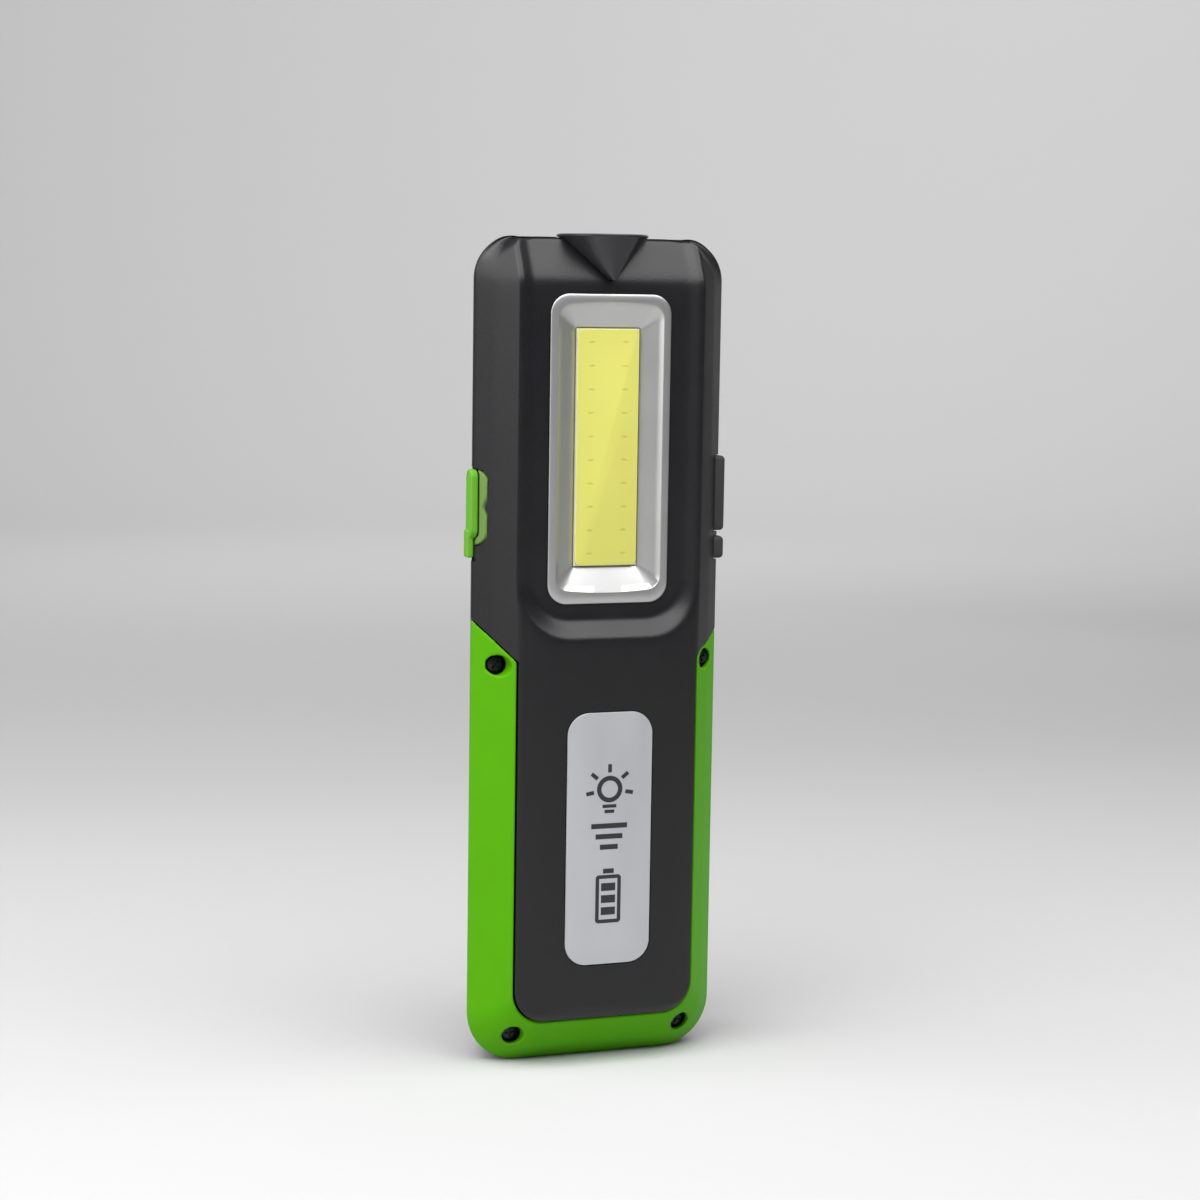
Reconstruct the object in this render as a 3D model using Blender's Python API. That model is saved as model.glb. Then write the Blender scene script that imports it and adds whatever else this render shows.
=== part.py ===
"""Rechargeable inspection lamp: COB work light in the face, torch in the top end.

The lamp stands upright on its lower end. Its face looks along -Y, its back with the magnets
and the hanging hook looks along +Y, and +Z runs up its length. The origin is the middle of
the bottom. Depths are measured from the face towards the back.
"""
import math

import bmesh
import bpy
from mathutils import Matrix, Vector

MM = 0.001

# ---- driving dimensions -------------------------------------------------------------
LENGTH = 210 * MM
BODY_TOP = 209.2 * MM
DEPTH = 36 * MM
HALF_WIDTH = 32.9 * MM
FACET_HALF = 28.9 * MM          # where the two chamfers of the face meet
PANEL_HALF = 23.9 * MM          # edge of the flat face panel
PANEL_BOTTOM = 12 * MM
PANEL_DEPTH = 2.2 * MM
FACET_DEPTH = 7.6 * MM
WIDEST_DEPTH = 12.6 * MM
PARTING = 14 * MM               # plane between the two housings
BACK_DEPTH = 34.4 * MM          # the rear housing's back face
BEND = 198.6 * MM               # height where the face folds back at the top
FOLD = 0.55                     # depth gained per height above the bend
GAP = 0.3 * MM                  # clearance between touching pieces
WALL = 1.8 * MM
PROTRUSION = 34.4 * MM          # half-width over the port cover and the buttons

RECESS_DEPTH = 4.4 * MM
RECESS_HALF = 20.3 * MM
RECESS_BOTTOM = 113.9 * MM
BEZEL_HALF = 15.9 * MM
BEZEL_BOTTOM = 118.2 * MM
BEZEL_TOP = 195.3 * MM
BEZEL_FACE = 3.6 * MM
COB_HALF = 8.3 * MM
COB_BOTTOM = 127.5 * MM
COB_TOP = 186.8 * MM
COB_FACE = 6.4 * MM
SINK_FACE = 7.9 * MM

TORCH_DEPTH = 11.6 * MM
TORCH_RADIUS = 11.5 * MM
TIP_Z = 198.7 * MM              # point of the boss under the torch
TIP_DEPTH = 2.4 * MM
LABEL_HALF = 11.3 * MM
LABEL_BOTTOM = 26.6 * MM
LABEL_TOP = 91.1 * MM

BOARD_DEPTH = 16.5 * MM
CELL_RADIUS = 9.1 * MM
CELL_DEPTH = 19.6 * MM
CELL_BOTTOM = 30 * MM
CELL_TOP = 95 * MM
HOOK_BASE_Z = 104 * MM
HOOK_BASE_RADIUS = 12 * MM
HOOK_AXIS_Z = 110 * MM
HOOK_AXIS_DEPTH = 33.1 * MM
EYE_Z = 138.5 * MM              # centre of the hook's eye
DISH_RADIUS = 6 * MM            # finger dish under the eye
DISH_FLOOR = 31.9 * MM
MAGNET_RADIUS = 9 * MM
MAGNET_HEIGHTS = {"magnet_lower": 34 * MM, "magnet_upper": 172 * MM}
SCREW_PLACES = [(-27.6 * MM, 103 * MM), (27.6 * MM, 103 * MM),
                (-22.7 * MM, 8.1 * MM), (22.7 * MM, 8.1 * MM)]
SINK_SCREWS = [(-16.5 * MM, 157 * MM), (16.5 * MM, 157 * MM)]
BOARD_SCREWS = [(-20 * MM, 157 * MM), (20 * MM, 157 * MM)]

CORNER_STEPS = 6
ROUND_STEPS = 32
FINE_STEPS = 20


# ---- helpers ------------------------------------------------------------------------
def y_at(depth):
    """World Y of a depth measured from the lamp's face."""
    return depth - DEPTH / 2


def clear_scene():
    for obj in list(bpy.data.objects):
        bpy.data.objects.remove(obj, do_unlink=True)


def material(name, colour, roughness, metallic=0.0, transmission=0.0):
    """A Principled material, made once for each name."""
    found = bpy.data.materials.get(name)
    if found:
        return found
    made = bpy.data.materials.new(name)
    made.use_nodes = True
    shader = made.node_tree.nodes["Principled BSDF"]
    shader.inputs["Base Color"].default_value = (*colour, 1)
    shader.inputs["Roughness"].default_value = roughness
    shader.inputs["Metallic"].default_value = metallic
    shader.inputs["Transmission Weight"].default_value = transmission
    return made


def charcoal():
    return material("charcoal_plastic", (0.045, 0.046, 0.050), 0.55)


def green():
    return material("green_rubber", (0.10, 0.45, 0.01), 0.5)


def silver():
    return material("silver_plastic", (0.62, 0.62, 0.62), 0.35, 0.6)


def steel():
    return material("screw_steel", (0.30, 0.30, 0.31), 0.35, 1.0)


def circuit():
    return material("circuit_board", (0.02, 0.16, 0.07), 0.5)


def finish(bm, name, look=None):
    """Turn a bmesh into an object with outward faces, smooth round the curves."""
    bmesh.ops.recalc_face_normals(bm, faces=bm.faces)
    mesh = bpy.data.meshes.new(name)
    bm.to_mesh(mesh)
    bm.free()
    mesh.shade_smooth()
    mesh.set_sharp_from_angle(angle=math.radians(35))
    obj = bpy.data.objects.new(name, mesh)
    bpy.context.scene.collection.objects.link(obj)
    if look:
        mesh.materials.append(look)
    return obj


def as_cutter(obj):
    obj.hide_render = True
    obj.display_type = "WIRE"
    return obj


def combine(obj, other, operation):
    """Add an exact Boolean of another solid, which is then a hidden cutter."""
    modifier = obj.modifiers.new(other.name, "BOOLEAN")
    modifier.operation = operation
    modifier.object = as_cutter(other)
    modifier.solver = "EXACT"
    return obj


def cut(obj, *cutters):
    for cutter in cutters:
        combine(obj, cutter, "DIFFERENCE")
    return obj


def join(obj, *others):
    for other in others:
        combine(obj, other, "UNION")
    return obj


def box(name, low, high, look=None):
    """A box between two corners given as (x, depth, z)."""
    bm = bmesh.new()
    bmesh.ops.create_cube(bm, size=1)
    size = [high[i] - low[i] for i in range(3)]
    middle = [(high[i] + low[i]) / 2 for i in range(3)]
    bmesh.ops.scale(bm, vec=size, verts=bm.verts)
    bmesh.ops.translate(bm, vec=(middle[0], y_at(middle[1]), middle[2]), verts=bm.verts)
    return finish(bm, name, look)


def cone(name, base, radius, end_radius, length, axis, look=None, steps=ROUND_STEPS):
    """A cylinder or cone from a base point (x, depth, z) along 'X', 'Y' or 'Z'."""
    bm = bmesh.new()
    bmesh.ops.create_cone(bm, cap_ends=True, segments=steps, radius1=radius,
                          radius2=end_radius, depth=length)
    bmesh.ops.translate(bm, vec=(0, 0, length / 2), verts=bm.verts)
    turn = {"X": Matrix.Rotation(math.pi / 2, 3, "Y"), "Y": Matrix.Rotation(-math.pi / 2, 3, "X"),
            "Z": Matrix.Identity(3)}[axis]
    bmesh.ops.rotate(bm, matrix=turn, verts=bm.verts)
    bmesh.ops.translate(bm, vec=(base[0], y_at(base[1]), base[2]), verts=bm.verts)
    return finish(bm, name, look)


def cylinder(name, base, radius, length, axis, look=None, steps=ROUND_STEPS):
    return cone(name, base, radius, radius, length, axis, look, steps)


def peg(name, spot, radius, length, look=None):
    """A finely stepped cylinder along Y."""
    return cylinder(name, spot, radius, length, "Y", look, FINE_STEPS)


def arc(centre, radius, start, end, steps):
    """Points (x, z) of an arc, angles in degrees."""
    angles = [math.radians(start + (end - start) * i / steps) for i in range(steps + 1)]
    return [(centre[0] + radius * math.cos(a), centre[1] + radius * math.sin(a)) for a in angles]


def outline(half, bottom, top, low_round, high_round):
    """Rounded rectangle in (x, z), counter-clockwise from the lower right corner."""
    low, high = half - low_round, half - high_round
    return (arc((low, bottom + low_round), low_round, -90, 0, CORNER_STEPS)
            + arc((high, top - high_round), high_round, 0, 90, CORNER_STEPS)
            + arc((-high, top - high_round), high_round, 90, 180, CORNER_STEPS)
            + arc((-low, bottom + low_round), low_round, 180, 270, CORNER_STEPS))


def ring_of(bm, points):
    """A closed ring of edges through 3-D points; returns its vertices and edges."""
    verts = [bm.verts.new(point) for point in points]
    edges = [bm.edges.new((verts[i - 1], verts[i])) for i in range(len(verts))]
    return verts, edges


def loft(name, sections, look=None):
    """Skin rounded rectangles given as (depth, half, bottom, top, low_round, high_round)."""
    bm = bmesh.new()
    rings = []
    for depth, *shape in sections:
        rings.append(ring_of(bm, [(x, y_at(depth), z) for x, z in outline(*shape)]))
    for (_, near), (_, far) in zip(rings, rings[1:]):
        bmesh.ops.bridge_loops(bm, edges=near + far)
    bm.faces.new(rings[0][0])
    bm.faces.new(rings[-1][0])
    return finish(bm, name, look)


def plate(name, points, start, thickness, axis, look=None):
    """Extrude a flat outline. Axis 'Y': points (x, z), start a depth. Axis 'Z': points
    (x, depth), start a height."""
    bm = bmesh.new()
    if axis == "Y":
        corners = [(x, y_at(start), z) for x, z in points]
        push = (0, thickness, 0)
    else:
        corners = [(x, y_at(depth), start) for x, depth in points]
        push = (0, 0, thickness)
    face = bm.faces.new([bm.verts.new(corner) for corner in corners])
    grown = bmesh.ops.extrude_face_region(bm, geom=[face])
    moved = [item for item in grown["geom"] if isinstance(item, bmesh.types.BMVert)]
    bmesh.ops.translate(bm, vec=push, verts=moved)
    return finish(bm, name, look)


def turned(name, profile, centre, look=None, steps=ROUND_STEPS):
    """Spin a closed profile of (radius, z) about a vertical axis at (x, depth)."""
    bm = bmesh.new()
    verts, edges = ring_of(bm, [(radius, 0, z) for radius, z in profile])
    bmesh.ops.spin(bm, geom=verts + edges, axis=(0, 0, 1), cent=(0, 0, 0), angle=2 * math.pi,
                   steps=steps, use_merge=True)
    bmesh.ops.translate(bm, vec=(centre[0], y_at(centre[1]), 0), verts=bm.verts)
    return finish(bm, name, look)


def lead(name, route, radius, look):
    """A wire through a smooth curve over its route points (x, depth, z)."""
    points = [Vector((x, y_at(depth), z)) for x, depth, z in route]
    ends = [2 * points[0] - points[1]] + points + [2 * points[-1] - points[-2]]
    path = []
    for a, b, c, d in zip(ends, ends[1:], ends[2:], ends[3:]):
        for step in range(6):
            t = step / 6
            path.append(0.5 * (2 * b + (c - a) * t + (2 * a - 5 * b + 4 * c - d) * t * t
                               + (3 * b - a - 3 * c + d) * t ** 3))
    path.append(points[-1])
    curve = bpy.data.curves.new(name, "CURVE")
    curve.dimensions = "3D"
    curve.bevel_depth = radius
    curve.bevel_resolution = 2
    curve.use_fill_caps = True
    spline = curve.splines.new("POLY")
    spline.points.add(len(path) - 1)
    for point, place in zip(spline.points, path):
        point.co = (*place, 1)
    curve.materials.append(look)
    obj = bpy.data.objects.new(name, curve)
    bpy.context.scene.collection.objects.link(obj)
    return obj


# ---- shapes shared by several pieces --------------------------------------------------
def face_sections():
    """The lamp's outer skin from the face back to its widest line."""
    return [
        (0.35 * MM, 12.6 * MM, 16 * MM, BEND, 6 * MM, 2 * MM),
        (1.0 * MM, 18.6 * MM, 13.6 * MM, BEND, 7 * MM, 2 * MM),
        (PANEL_DEPTH, PANEL_HALF, PANEL_BOTTOM, BEND, 8 * MM, 2 * MM),
        (FACET_DEPTH, FACET_HALF, 4.4 * MM, 207.4 * MM, 11 * MM, 8 * MM),
        (WIDEST_DEPTH, HALF_WIDTH, 0, BODY_TOP, 13 * MM, 10.5 * MM),
    ]


def back_sections():
    """The rear housing's outer skin: it narrows towards the back."""
    return [
        (PARTING + GAP, 32.7 * MM, 0, BODY_TOP, 13 * MM, 10.5 * MM),
        (20 * MM, 30.4 * MM, 0, BODY_TOP, 12 * MM, 10 * MM),
        (28 * MM, 27.4 * MM, 0, BODY_TOP, 11 * MM, 10 * MM),
        (33.2 * MM, 25 * MM, 0, 208.4 * MM, 10 * MM, 10 * MM),
        (BACK_DEPTH, 23.4 * MM, 1.4 * MM, 206.6 * MM, 9 * MM, 9 * MM),
    ]


def core_under_bumper(name, clearance):
    """The housing's shape below the bumper, a bumper's thickness inside the outer skin."""
    c = clearance
    return loft(name, [
        (3.5 * MM + c, 22.5 * MM - c, 13.1 * MM + c, 130 * MM, 7 * MM, 2 * MM),
        (8.8 * MM + c, 27.5 * MM - c, 5.9 * MM + c, 130 * MM, 9.8 * MM, 2 * MM),
        (13.3 * MM, 31.1 * MM - c, 1.8 * MM + c, 130 * MM, 11.2 * MM, 2 * MM),
        (16 * MM, 31.1 * MM - c, 1.8 * MM + c, 130 * MM, 11.2 * MM, 2 * MM),
    ])


def bumper_zone(name, grow):
    """Where the bumper lies: a U open at the top with slanted arm ends."""
    left_tip, right_tip = 114.4 * MM + grow, 109.6 * MM + grow
    inner_top, edge = 104.2 * MM + grow, 24 * MM
    far = 40 * MM
    end_depth = PARTING if grow else PARTING - 0.1 * MM
    zone = plate(name, [(-far, -5 * MM), (far, -5 * MM), (far, right_tip + 4.5 * MM), (edge, inner_top),
                        (-edge, inner_top), (-far, left_tip + 7.4 * MM)],
                 -2 * MM, end_depth + 2 * MM + grow, "Y")
    panel = loft(name + "_panel", [
        (depth, edge - grow, PANEL_BOTTOM + grow, 140 * MM, 8 * MM, 2 * MM)
        for depth in (-3 * MM, 18 * MM)])
    return cut(zone, core_under_bumper(name + "_core", grow), panel)


def recess_cutter():
    """The U-shaped light recess: a flat floor and a sloping wall, folding back at the top."""
    top = 216 * MM
    bm = bmesh.new()
    rings = []
    for depth, half, bottom, corner in ((RECESS_DEPTH, RECESS_HALF, RECESS_BOTTOM, 10.5 * MM),
                                        (-2 * MM, 31 * MM, 107.6 * MM, 18 * MM)):
        flat = ([(-half, top), (-half, BEND)]
                + arc((-half + corner, bottom + corner), corner, 180, 270, CORNER_STEPS)
                + arc((half - corner, bottom + corner), corner, 270, 360, CORNER_STEPS)
                + [(half, BEND), (half, top)])
        points = [(x, y_at(depth + FOLD * max(0, z - BEND)), z) for x, z in flat]
        rings.append(ring_of(bm, points))
    bmesh.ops.bridge_loops(bm, edges=rings[0][1] + rings[1][1])
    for verts, _ in rings:
        bm.faces.new(verts[1:-1])
        bm.faces.new([verts[0], verts[1], verts[-2], verts[-1]])
    return finish(bm, "recess_cutter")


def torch_cone(name, grow):
    """The pointed boss under the torch: from a ridge proud of the recess floor out to the rim."""
    tip_z = TIP_Z - 2 * grow
    tip_radius = 0.4 * MM + grow / 2
    bm = bmesh.new()
    for depth, radius, z in ((TIP_DEPTH, tip_radius, tip_z), (TIP_DEPTH + 3 * MM, tip_radius, tip_z),
                             (TORCH_DEPTH, TORCH_RADIUS + grow, LENGTH + grow)):
        circle = bmesh.ops.create_circle(bm, segments=ROUND_STEPS, radius=radius)
        bmesh.ops.translate(bm, vec=(0, y_at(depth), z), verts=circle["verts"])
    hull = bmesh.ops.convex_hull(bm, input=bm.verts)
    inside = [item for item in hull["geom_interior"] if isinstance(item, bmesh.types.BMVert)]
    bmesh.ops.delete(bm, geom=inside, context="VERTS")
    return finish(bm, name)


def torch_well(name, grow):
    """The space inside the torch: the reflector's cone and the lens seat above it."""
    seat = 208.2 * MM
    return turned(name, [(0, 199.3 * MM - grow), (3.4 * MM + grow, 199.3 * MM - grow),
                         (9.5 * MM + grow, seat), (9.7 * MM + grow, seat),
                         (9.7 * MM + grow, 212 * MM), (0, 212 * MM)], (0, TORCH_DEPTH))


def port_profile(grow):
    """Cross-section (x, depth) of the port cover: a flange on the chamfer and a raised bar."""
    g = grow
    return [(-30.6 * MM - g, 8.7 * MM - g), (-32.5 * MM - g, 11.2 * MM - g),
            (-PROTRUSION - g, 11.6 * MM - g), (-PROTRUSION - g, 15.6 * MM + g),
            (-31.9 * MM + g, 15.6 * MM + g), (-31.9 * MM + g, 13.3 * MM + g),
            (-29.4 * MM + g, 9.7 * MM - g / 2)]


PORT_BOTTOM = 129.5 * MM
PORT_TOP = 153 * MM
USB_BOX = ((-29.2 * MM, 10.5 * MM, 138 * MM), (-17 * MM, 16.2 * MM, 151.2 * MM))
CHARGE_BOX = ((-29.2 * MM, 13.2 * MM, 129.9 * MM), (-23.6 * MM, 16.2 * MM, 137.4 * MM))
BUTTONS = {"switch_button": (135.4 * MM, 154.6 * MM), "torch_button": (128.2 * MM, 133.9 * MM)}
BUTTON_DEPTHS = (11 * MM, 16 * MM)


def grown(corners, amount):
    low, high = corners
    return tuple(v - amount for v in low), tuple(v + amount for v in high)


def cut_side_openings(housing, prefix):
    """Pocket for the port cover, windows for the sockets and for the buttons."""
    pocket = plate(prefix + "_port_pocket", port_profile(GAP), PORT_BOTTOM - GAP,
                   PORT_TOP - PORT_BOTTOM + 2 * GAP, "Z")
    cut(housing, pocket)
    for name, corners in (("usb", USB_BOX), ("charge", CHARGE_BOX)):
        low, high = grown(corners, GAP)
        cut(housing, box(f"{prefix}_{name}_window", (-36 * MM, low[1], low[2]), high))
    for name, (bottom, top) in BUTTONS.items():
        cut(housing, box(f"{prefix}_{name}_window", (28 * MM, BUTTON_DEPTHS[0] - GAP, bottom - GAP),
                         (36 * MM, BUTTON_DEPTHS[1] + GAP, top + GAP)))


# ---- housings and bumper --------------------------------------------------------------
def front_housing():
    """The face half of the body, open at the back."""
    rim = (PARTING - 0.1 * MM, HALF_WIDTH, 0, BODY_TOP, 13 * MM, 10.5 * MM)
    housing = loft("front_housing", face_sections() + [rim], charcoal())
    cavity = loft("front_cavity", [
        (2.4 * MM, 19 * MM, 16.5 * MM, 106 * MM, 6 * MM, 2 * MM),
        (5 * MM, 21 * MM, 14.6 * MM, 106 * MM, 6 * MM, 2 * MM),
        (10.2 * MM, 26 * MM, 7.6 * MM, 106 * MM, 8 * MM, 2 * MM),
        (14 * MM, 29.2 * MM, 3.7 * MM, 106 * MM, 10 * MM, 2 * MM),
        (15.2 * MM, 29.2 * MM, 3.7 * MM, 106 * MM, 10 * MM, 2 * MM),
    ])
    upper = loft("front_cavity_upper", [
        (6.3 * MM, 24.6 * MM, 101 * MM, 196.6 * MM, 2 * MM, 3 * MM),
        (8.8 * MM, 27 * MM, 99 * MM, 201 * MM, 2 * MM, 6 * MM),
        (13.3 * MM, 30.9 * MM, 98 * MM, 207.2 * MM, 2 * MM, 9 * MM),
        (15.3 * MM, 30.9 * MM, 98 * MM, 207.2 * MM, 2 * MM, 9 * MM),
    ])
    join(cavity, upper)
    for number, (x, z) in enumerate(SCREW_PLACES, 1):
        cut(cavity, peg(f"front_boss_{number}", (x, -1 * MM, z), 4.2 * MM, 20 * MM))
    for number, (x, z) in enumerate(SINK_SCREWS, 1):
        cut(cavity, peg(f"sink_post_{number}", (x, 0, z), 2.2 * MM, SINK_FACE - GAP))
    cut(housing, cavity, recess_cutter(), bumper_zone("bumper_seat", GAP))
    window = outline(14.6 * MM + GAP, 119.3 * MM, 194.2 * MM, 4 * MM, 4 * MM)
    label = outline(LABEL_HALF + GAP, LABEL_BOTTOM - GAP, LABEL_TOP + GAP, 6 * MM, 6 * MM)
    cut(housing, plate("bezel_window", window, 0, 9 * MM, "Y"),
        plate("label_seat", label, -1 * MM, 1.8 * MM, "Y"))
    cut(housing, torch_cone("torch_cone_seat", GAP), torch_well("front_torch_well", 0.2 * MM))
    cut(housing,
        cylinder("front_flange_seat", (0, TORCH_DEPTH, 208.6 * MM), TORCH_RADIUS + GAP, 4 * MM, "Z"))
    for number, (x, z) in enumerate(SCREW_PLACES, 1):
        cut(housing, cylinder(f"front_counterbore_{number}", (x, -1 * MM, z), 2.6 * MM, 11.8 * MM, "Y"))
        cut(housing, peg(f"front_screw_hole_{number}", (x, 5 * MM, z), 1.3 * MM, 12 * MM))
    for number, (x, z) in enumerate(SINK_SCREWS, 1):
        cut(housing, peg(f"sink_screw_hole_{number}", (x, 5.2 * MM, z), 1.05 * MM, 4 * MM))
    cut_side_openings(housing, "front")
    return housing


def rear_housing():
    """The back half of the body, with pockets for the magnets and the hook's base."""
    housing = loft("rear_housing", back_sections(), charcoal())
    cavity = loft("rear_cavity", [
        (13 * MM, 30.9 * MM, WALL, 207.4 * MM, 11.2 * MM, 9 * MM),
        (20 * MM, 28.5 * MM, WALL, 207.4 * MM, 10 * MM, 9 * MM),
        (28 * MM, 25.5 * MM, WALL, 207.4 * MM, 9 * MM, 9 * MM),
        (BACK_DEPTH - WALL, 23.2 * MM, 2.4 * MM, 206 * MM, 8 * MM, 8 * MM),
    ])
    for number, (x, z) in enumerate(SCREW_PLACES, 1):
        cut(cavity, peg(f"rear_boss_{number}", (x, 12 * MM, z), 3.8 * MM, 22 * MM))
    for number, (x, z) in enumerate(BOARD_SCREWS, 1):
        cut(cavity, peg(f"board_post_{number}", (x, BOARD_DEPTH + 1.5 * MM, z), 2.5 * MM, 18 * MM))
    cut(cavity, cylinder("hook_boss", (0, 29.4 * MM, HOOK_BASE_Z), 14 * MM, 6 * MM, "Y"),
        cylinder("dish_boss", (0, DISH_FLOOR - WALL, EYE_Z), DISH_RADIUS + WALL, 6 * MM, "Y"))
    for name, height in MAGNET_HEIGHTS.items():
        cut(cavity, cylinder(name + "_boss", (0, 30.5 * MM, height), 11 * MM, 6 * MM, "Y"))
    cut(housing, cavity)
    cut(housing, cylinder("hook_pocket", (0, 30.9 * MM, HOOK_BASE_Z), HOOK_BASE_RADIUS + GAP, 6 * MM, "Y"))
    cut(housing, cylinder("finger_dish", (0, DISH_FLOOR, EYE_Z), DISH_RADIUS, 6 * MM, "Y"))
    cut(housing, peg("hook_screw_hole", (0, 28 * MM, HOOK_BASE_Z), 1.5 * MM, 6 * MM))
    for name, height in MAGNET_HEIGHTS.items():
        cut(housing, cylinder(name + "_pocket", (0, 31.7 * MM, height), MAGNET_RADIUS + GAP, 6 * MM, "Y"))
    for number, (x, z) in enumerate(SCREW_PLACES, 1):
        cut(housing, peg(f"rear_screw_hole_{number}", (x, 10 * MM, z), 1.3 * MM, 12.9 * MM))
    for number, (x, z) in enumerate(BOARD_SCREWS, 1):
        cut(housing, peg(f"board_screw_hole_{number}", (x, 15 * MM, z), 1.1 * MM, 9 * MM))
    cut(housing, torch_cone("rear_cone_seat", GAP), torch_well("rear_torch_well", 0.2 * MM))
    cut(housing, cylinder("rear_flange_seat", (0, TORCH_DEPTH, 208.6 * MM), TORCH_RADIUS + GAP, 4 * MM, "Z"))
    cut_side_openings(housing, "rear")
    return housing


def bumper_frame():
    """The rubber frame over the handle's chamfers, with a counterbore for each screw."""
    rim = (PARTING - 0.1 * MM, HALF_WIDTH, 0, BODY_TOP, 13 * MM, 10.5 * MM)
    bumper = loft("bumper_frame", face_sections() + [rim], green())
    combine(bumper, bumper_zone("bumper_shape", 0), "INTERSECT")
    for number, (x, z) in enumerate(SCREW_PLACES, 1):
        cut(bumper, cylinder(f"bumper_counterbore_{number}", (x, -1 * MM, z), 2.6 * MM, 16 * MM, "Y"))
    return bumper


# ---- work light -----------------------------------------------------------------------
def light_bezel():
    """The silver frame: a flat rim over the recess floor and a reflector sloping in."""
    bezel = loft("light_bezel", [
        (BEZEL_FACE, BEZEL_HALF, BEZEL_BOTTOM, BEZEL_TOP, 5 * MM, 5 * MM),
        (RECESS_DEPTH - GAP, BEZEL_HALF, BEZEL_BOTTOM, BEZEL_TOP, 5 * MM, 5 * MM),
    ], silver())
    skirt = loft("bezel_skirt", [
        (3.9 * MM, 14.6 * MM, 119.6 * MM, 193.9 * MM, 3.8 * MM, 3.8 * MM),
        (4.6 * MM, 14.6 * MM, 119.6 * MM, 193.9 * MM, 3.8 * MM, 3.8 * MM),
        (7.2 * MM, 9.8 * MM, COB_BOTTOM - 1.5 * MM, COB_TOP + 1.5 * MM, 1.5 * MM, 1.5 * MM),
    ])
    funnel = loft("bezel_funnel", [
        (3 * MM, 14.8 * MM, 119.9 * MM, 194 * MM, 3.5 * MM, 3.5 * MM),
        (BEZEL_FACE, 13.8 * MM, 121.1 * MM, 193.1 * MM, 3 * MM, 3 * MM),
        (6.6 * MM, COB_HALF + GAP, COB_BOTTOM - GAP, COB_TOP + GAP, 0.3 * MM, 0.3 * MM),
        (8 * MM, COB_HALF + GAP, COB_BOTTOM - GAP, COB_TOP + GAP, 0.3 * MM, 0.3 * MM),
    ])
    return cut(join(bezel, skirt), funnel)


def work_light():
    """The light-emitting board in the bezel's mouth, on its aluminium heat sink."""
    light_bezel()
    box("cob_board", (-COB_HALF, COB_FACE, COB_BOTTOM), (COB_HALF, COB_FACE + 1.2 * MM, COB_TOP),
        material("board_white", (0.85, 0.85, 0.82), 0.5))
    inset = 0.7 * MM
    box("cob_phosphor", (-COB_HALF + inset, COB_FACE - 0.8 * MM, COB_BOTTOM + inset),
        (COB_HALF - inset, COB_FACE - GAP, COB_TOP - inset), material("phosphor", (0.75, 0.80, 0.25), 0.5))
    sink = box("heat_sink", (-18.6 * MM, SINK_FACE, 123 * MM), (18.6 * MM, SINK_FACE + 1.5 * MM, 191 * MM),
               material("sink_aluminium", (0.75, 0.76, 0.77), 0.4, 1.0))
    cut(sink, box("sink_slot", (-4.6 * MM, 7 * MM, 129 * MM), (4.6 * MM, 11 * MM, 133.6 * MM)))
    for number, (x, z) in enumerate(SINK_SCREWS, 1):
        cut(sink, peg(f"sink_hole_{number}", (x, 7 * MM, z), 1.05 * MM, 4 * MM))
        screw = peg(f"heat_sink_screw_{number}", (x, 9.7 * MM, z), 1.8 * MM, 1.2 * MM, steel())
        join(screw, peg(f"sink_shank_{number}", (x, 5.6 * MM, z), 0.75 * MM, 4.6 * MM))


# ---- torch ----------------------------------------------------------------------------
def torch():
    """The torch in the top end: collar, lens, reflector, board and light-emitting diode."""
    collar = torch_cone("torch_collar", 0)
    collar.data.materials.append(material("collar_plastic", (0.03, 0.03, 0.033), 0.4))
    flange = cylinder("torch_flange", (0, TORCH_DEPTH, 208.9 * MM), TORCH_RADIUS, 1.1 * MM, "Z")
    cut(join(collar, flange), torch_well("collar_well", 0))
    cylinder("torch_lens", (0, TORCH_DEPTH, 208.6 * MM), 9.4 * MM, 1.1 * MM, "Z",
             material("clear_lens", (0.9, 0.95, 1.0), 0.05, 0.0, 1.0))
    turned("torch_reflector", [(2.5 * MM, 199.6 * MM), (3.1 * MM, 199.6 * MM), (9.1 * MM, 208.2 * MM),
                               (8.5 * MM, 208.2 * MM)], (0, TORCH_DEPTH),
           material("mirror_plating", (0.9, 0.9, 0.9), 0.1, 1.0))
    cylinder("torch_board", (0, TORCH_DEPTH, 196.6 * MM), 4.3 * MM, 1.2 * MM, "Z",
             material("board_white", (0.85, 0.85, 0.82), 0.5))
    half = 1.7 * MM
    box("torch_led", (-half, TORCH_DEPTH - half, 198.1 * MM), (half, TORCH_DEPTH + half, 199.3 * MM),
        material("phosphor", (0.75, 0.80, 0.25), 0.5))


# ---- power and control ----------------------------------------------------------------
def battery():
    """The lithium cell, its welded contacts and the foam that holds it."""
    cylinder("battery_cell", (0, CELL_DEPTH, CELL_BOTTOM), CELL_RADIUS, CELL_TOP - CELL_BOTTOM, "Z",
             material("cell_wrap", (0.05, 0.20, 0.45), 0.4))
    nickel = material("nickel", (0.6, 0.58, 0.52), 0.3, 1.0)
    cylinder("cell_contact_top", (0, CELL_DEPTH, CELL_TOP + GAP), 3.5 * MM, 0.5 * MM, "Z", nickel,
             FINE_STEPS)
    cylinder("cell_contact_bottom", (0, CELL_DEPTH, CELL_BOTTOM - GAP - 0.5 * MM), 6 * MM, 0.5 * MM, "Z",
             nickel, FINE_STEPS)
    box("foam_pad", (-7 * MM, 2.7 * MM, 45 * MM), (7 * MM, CELL_DEPTH - CELL_RADIUS - GAP, 80 * MM),
        material("foam", (0.08, 0.08, 0.08), 0.9))


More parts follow.
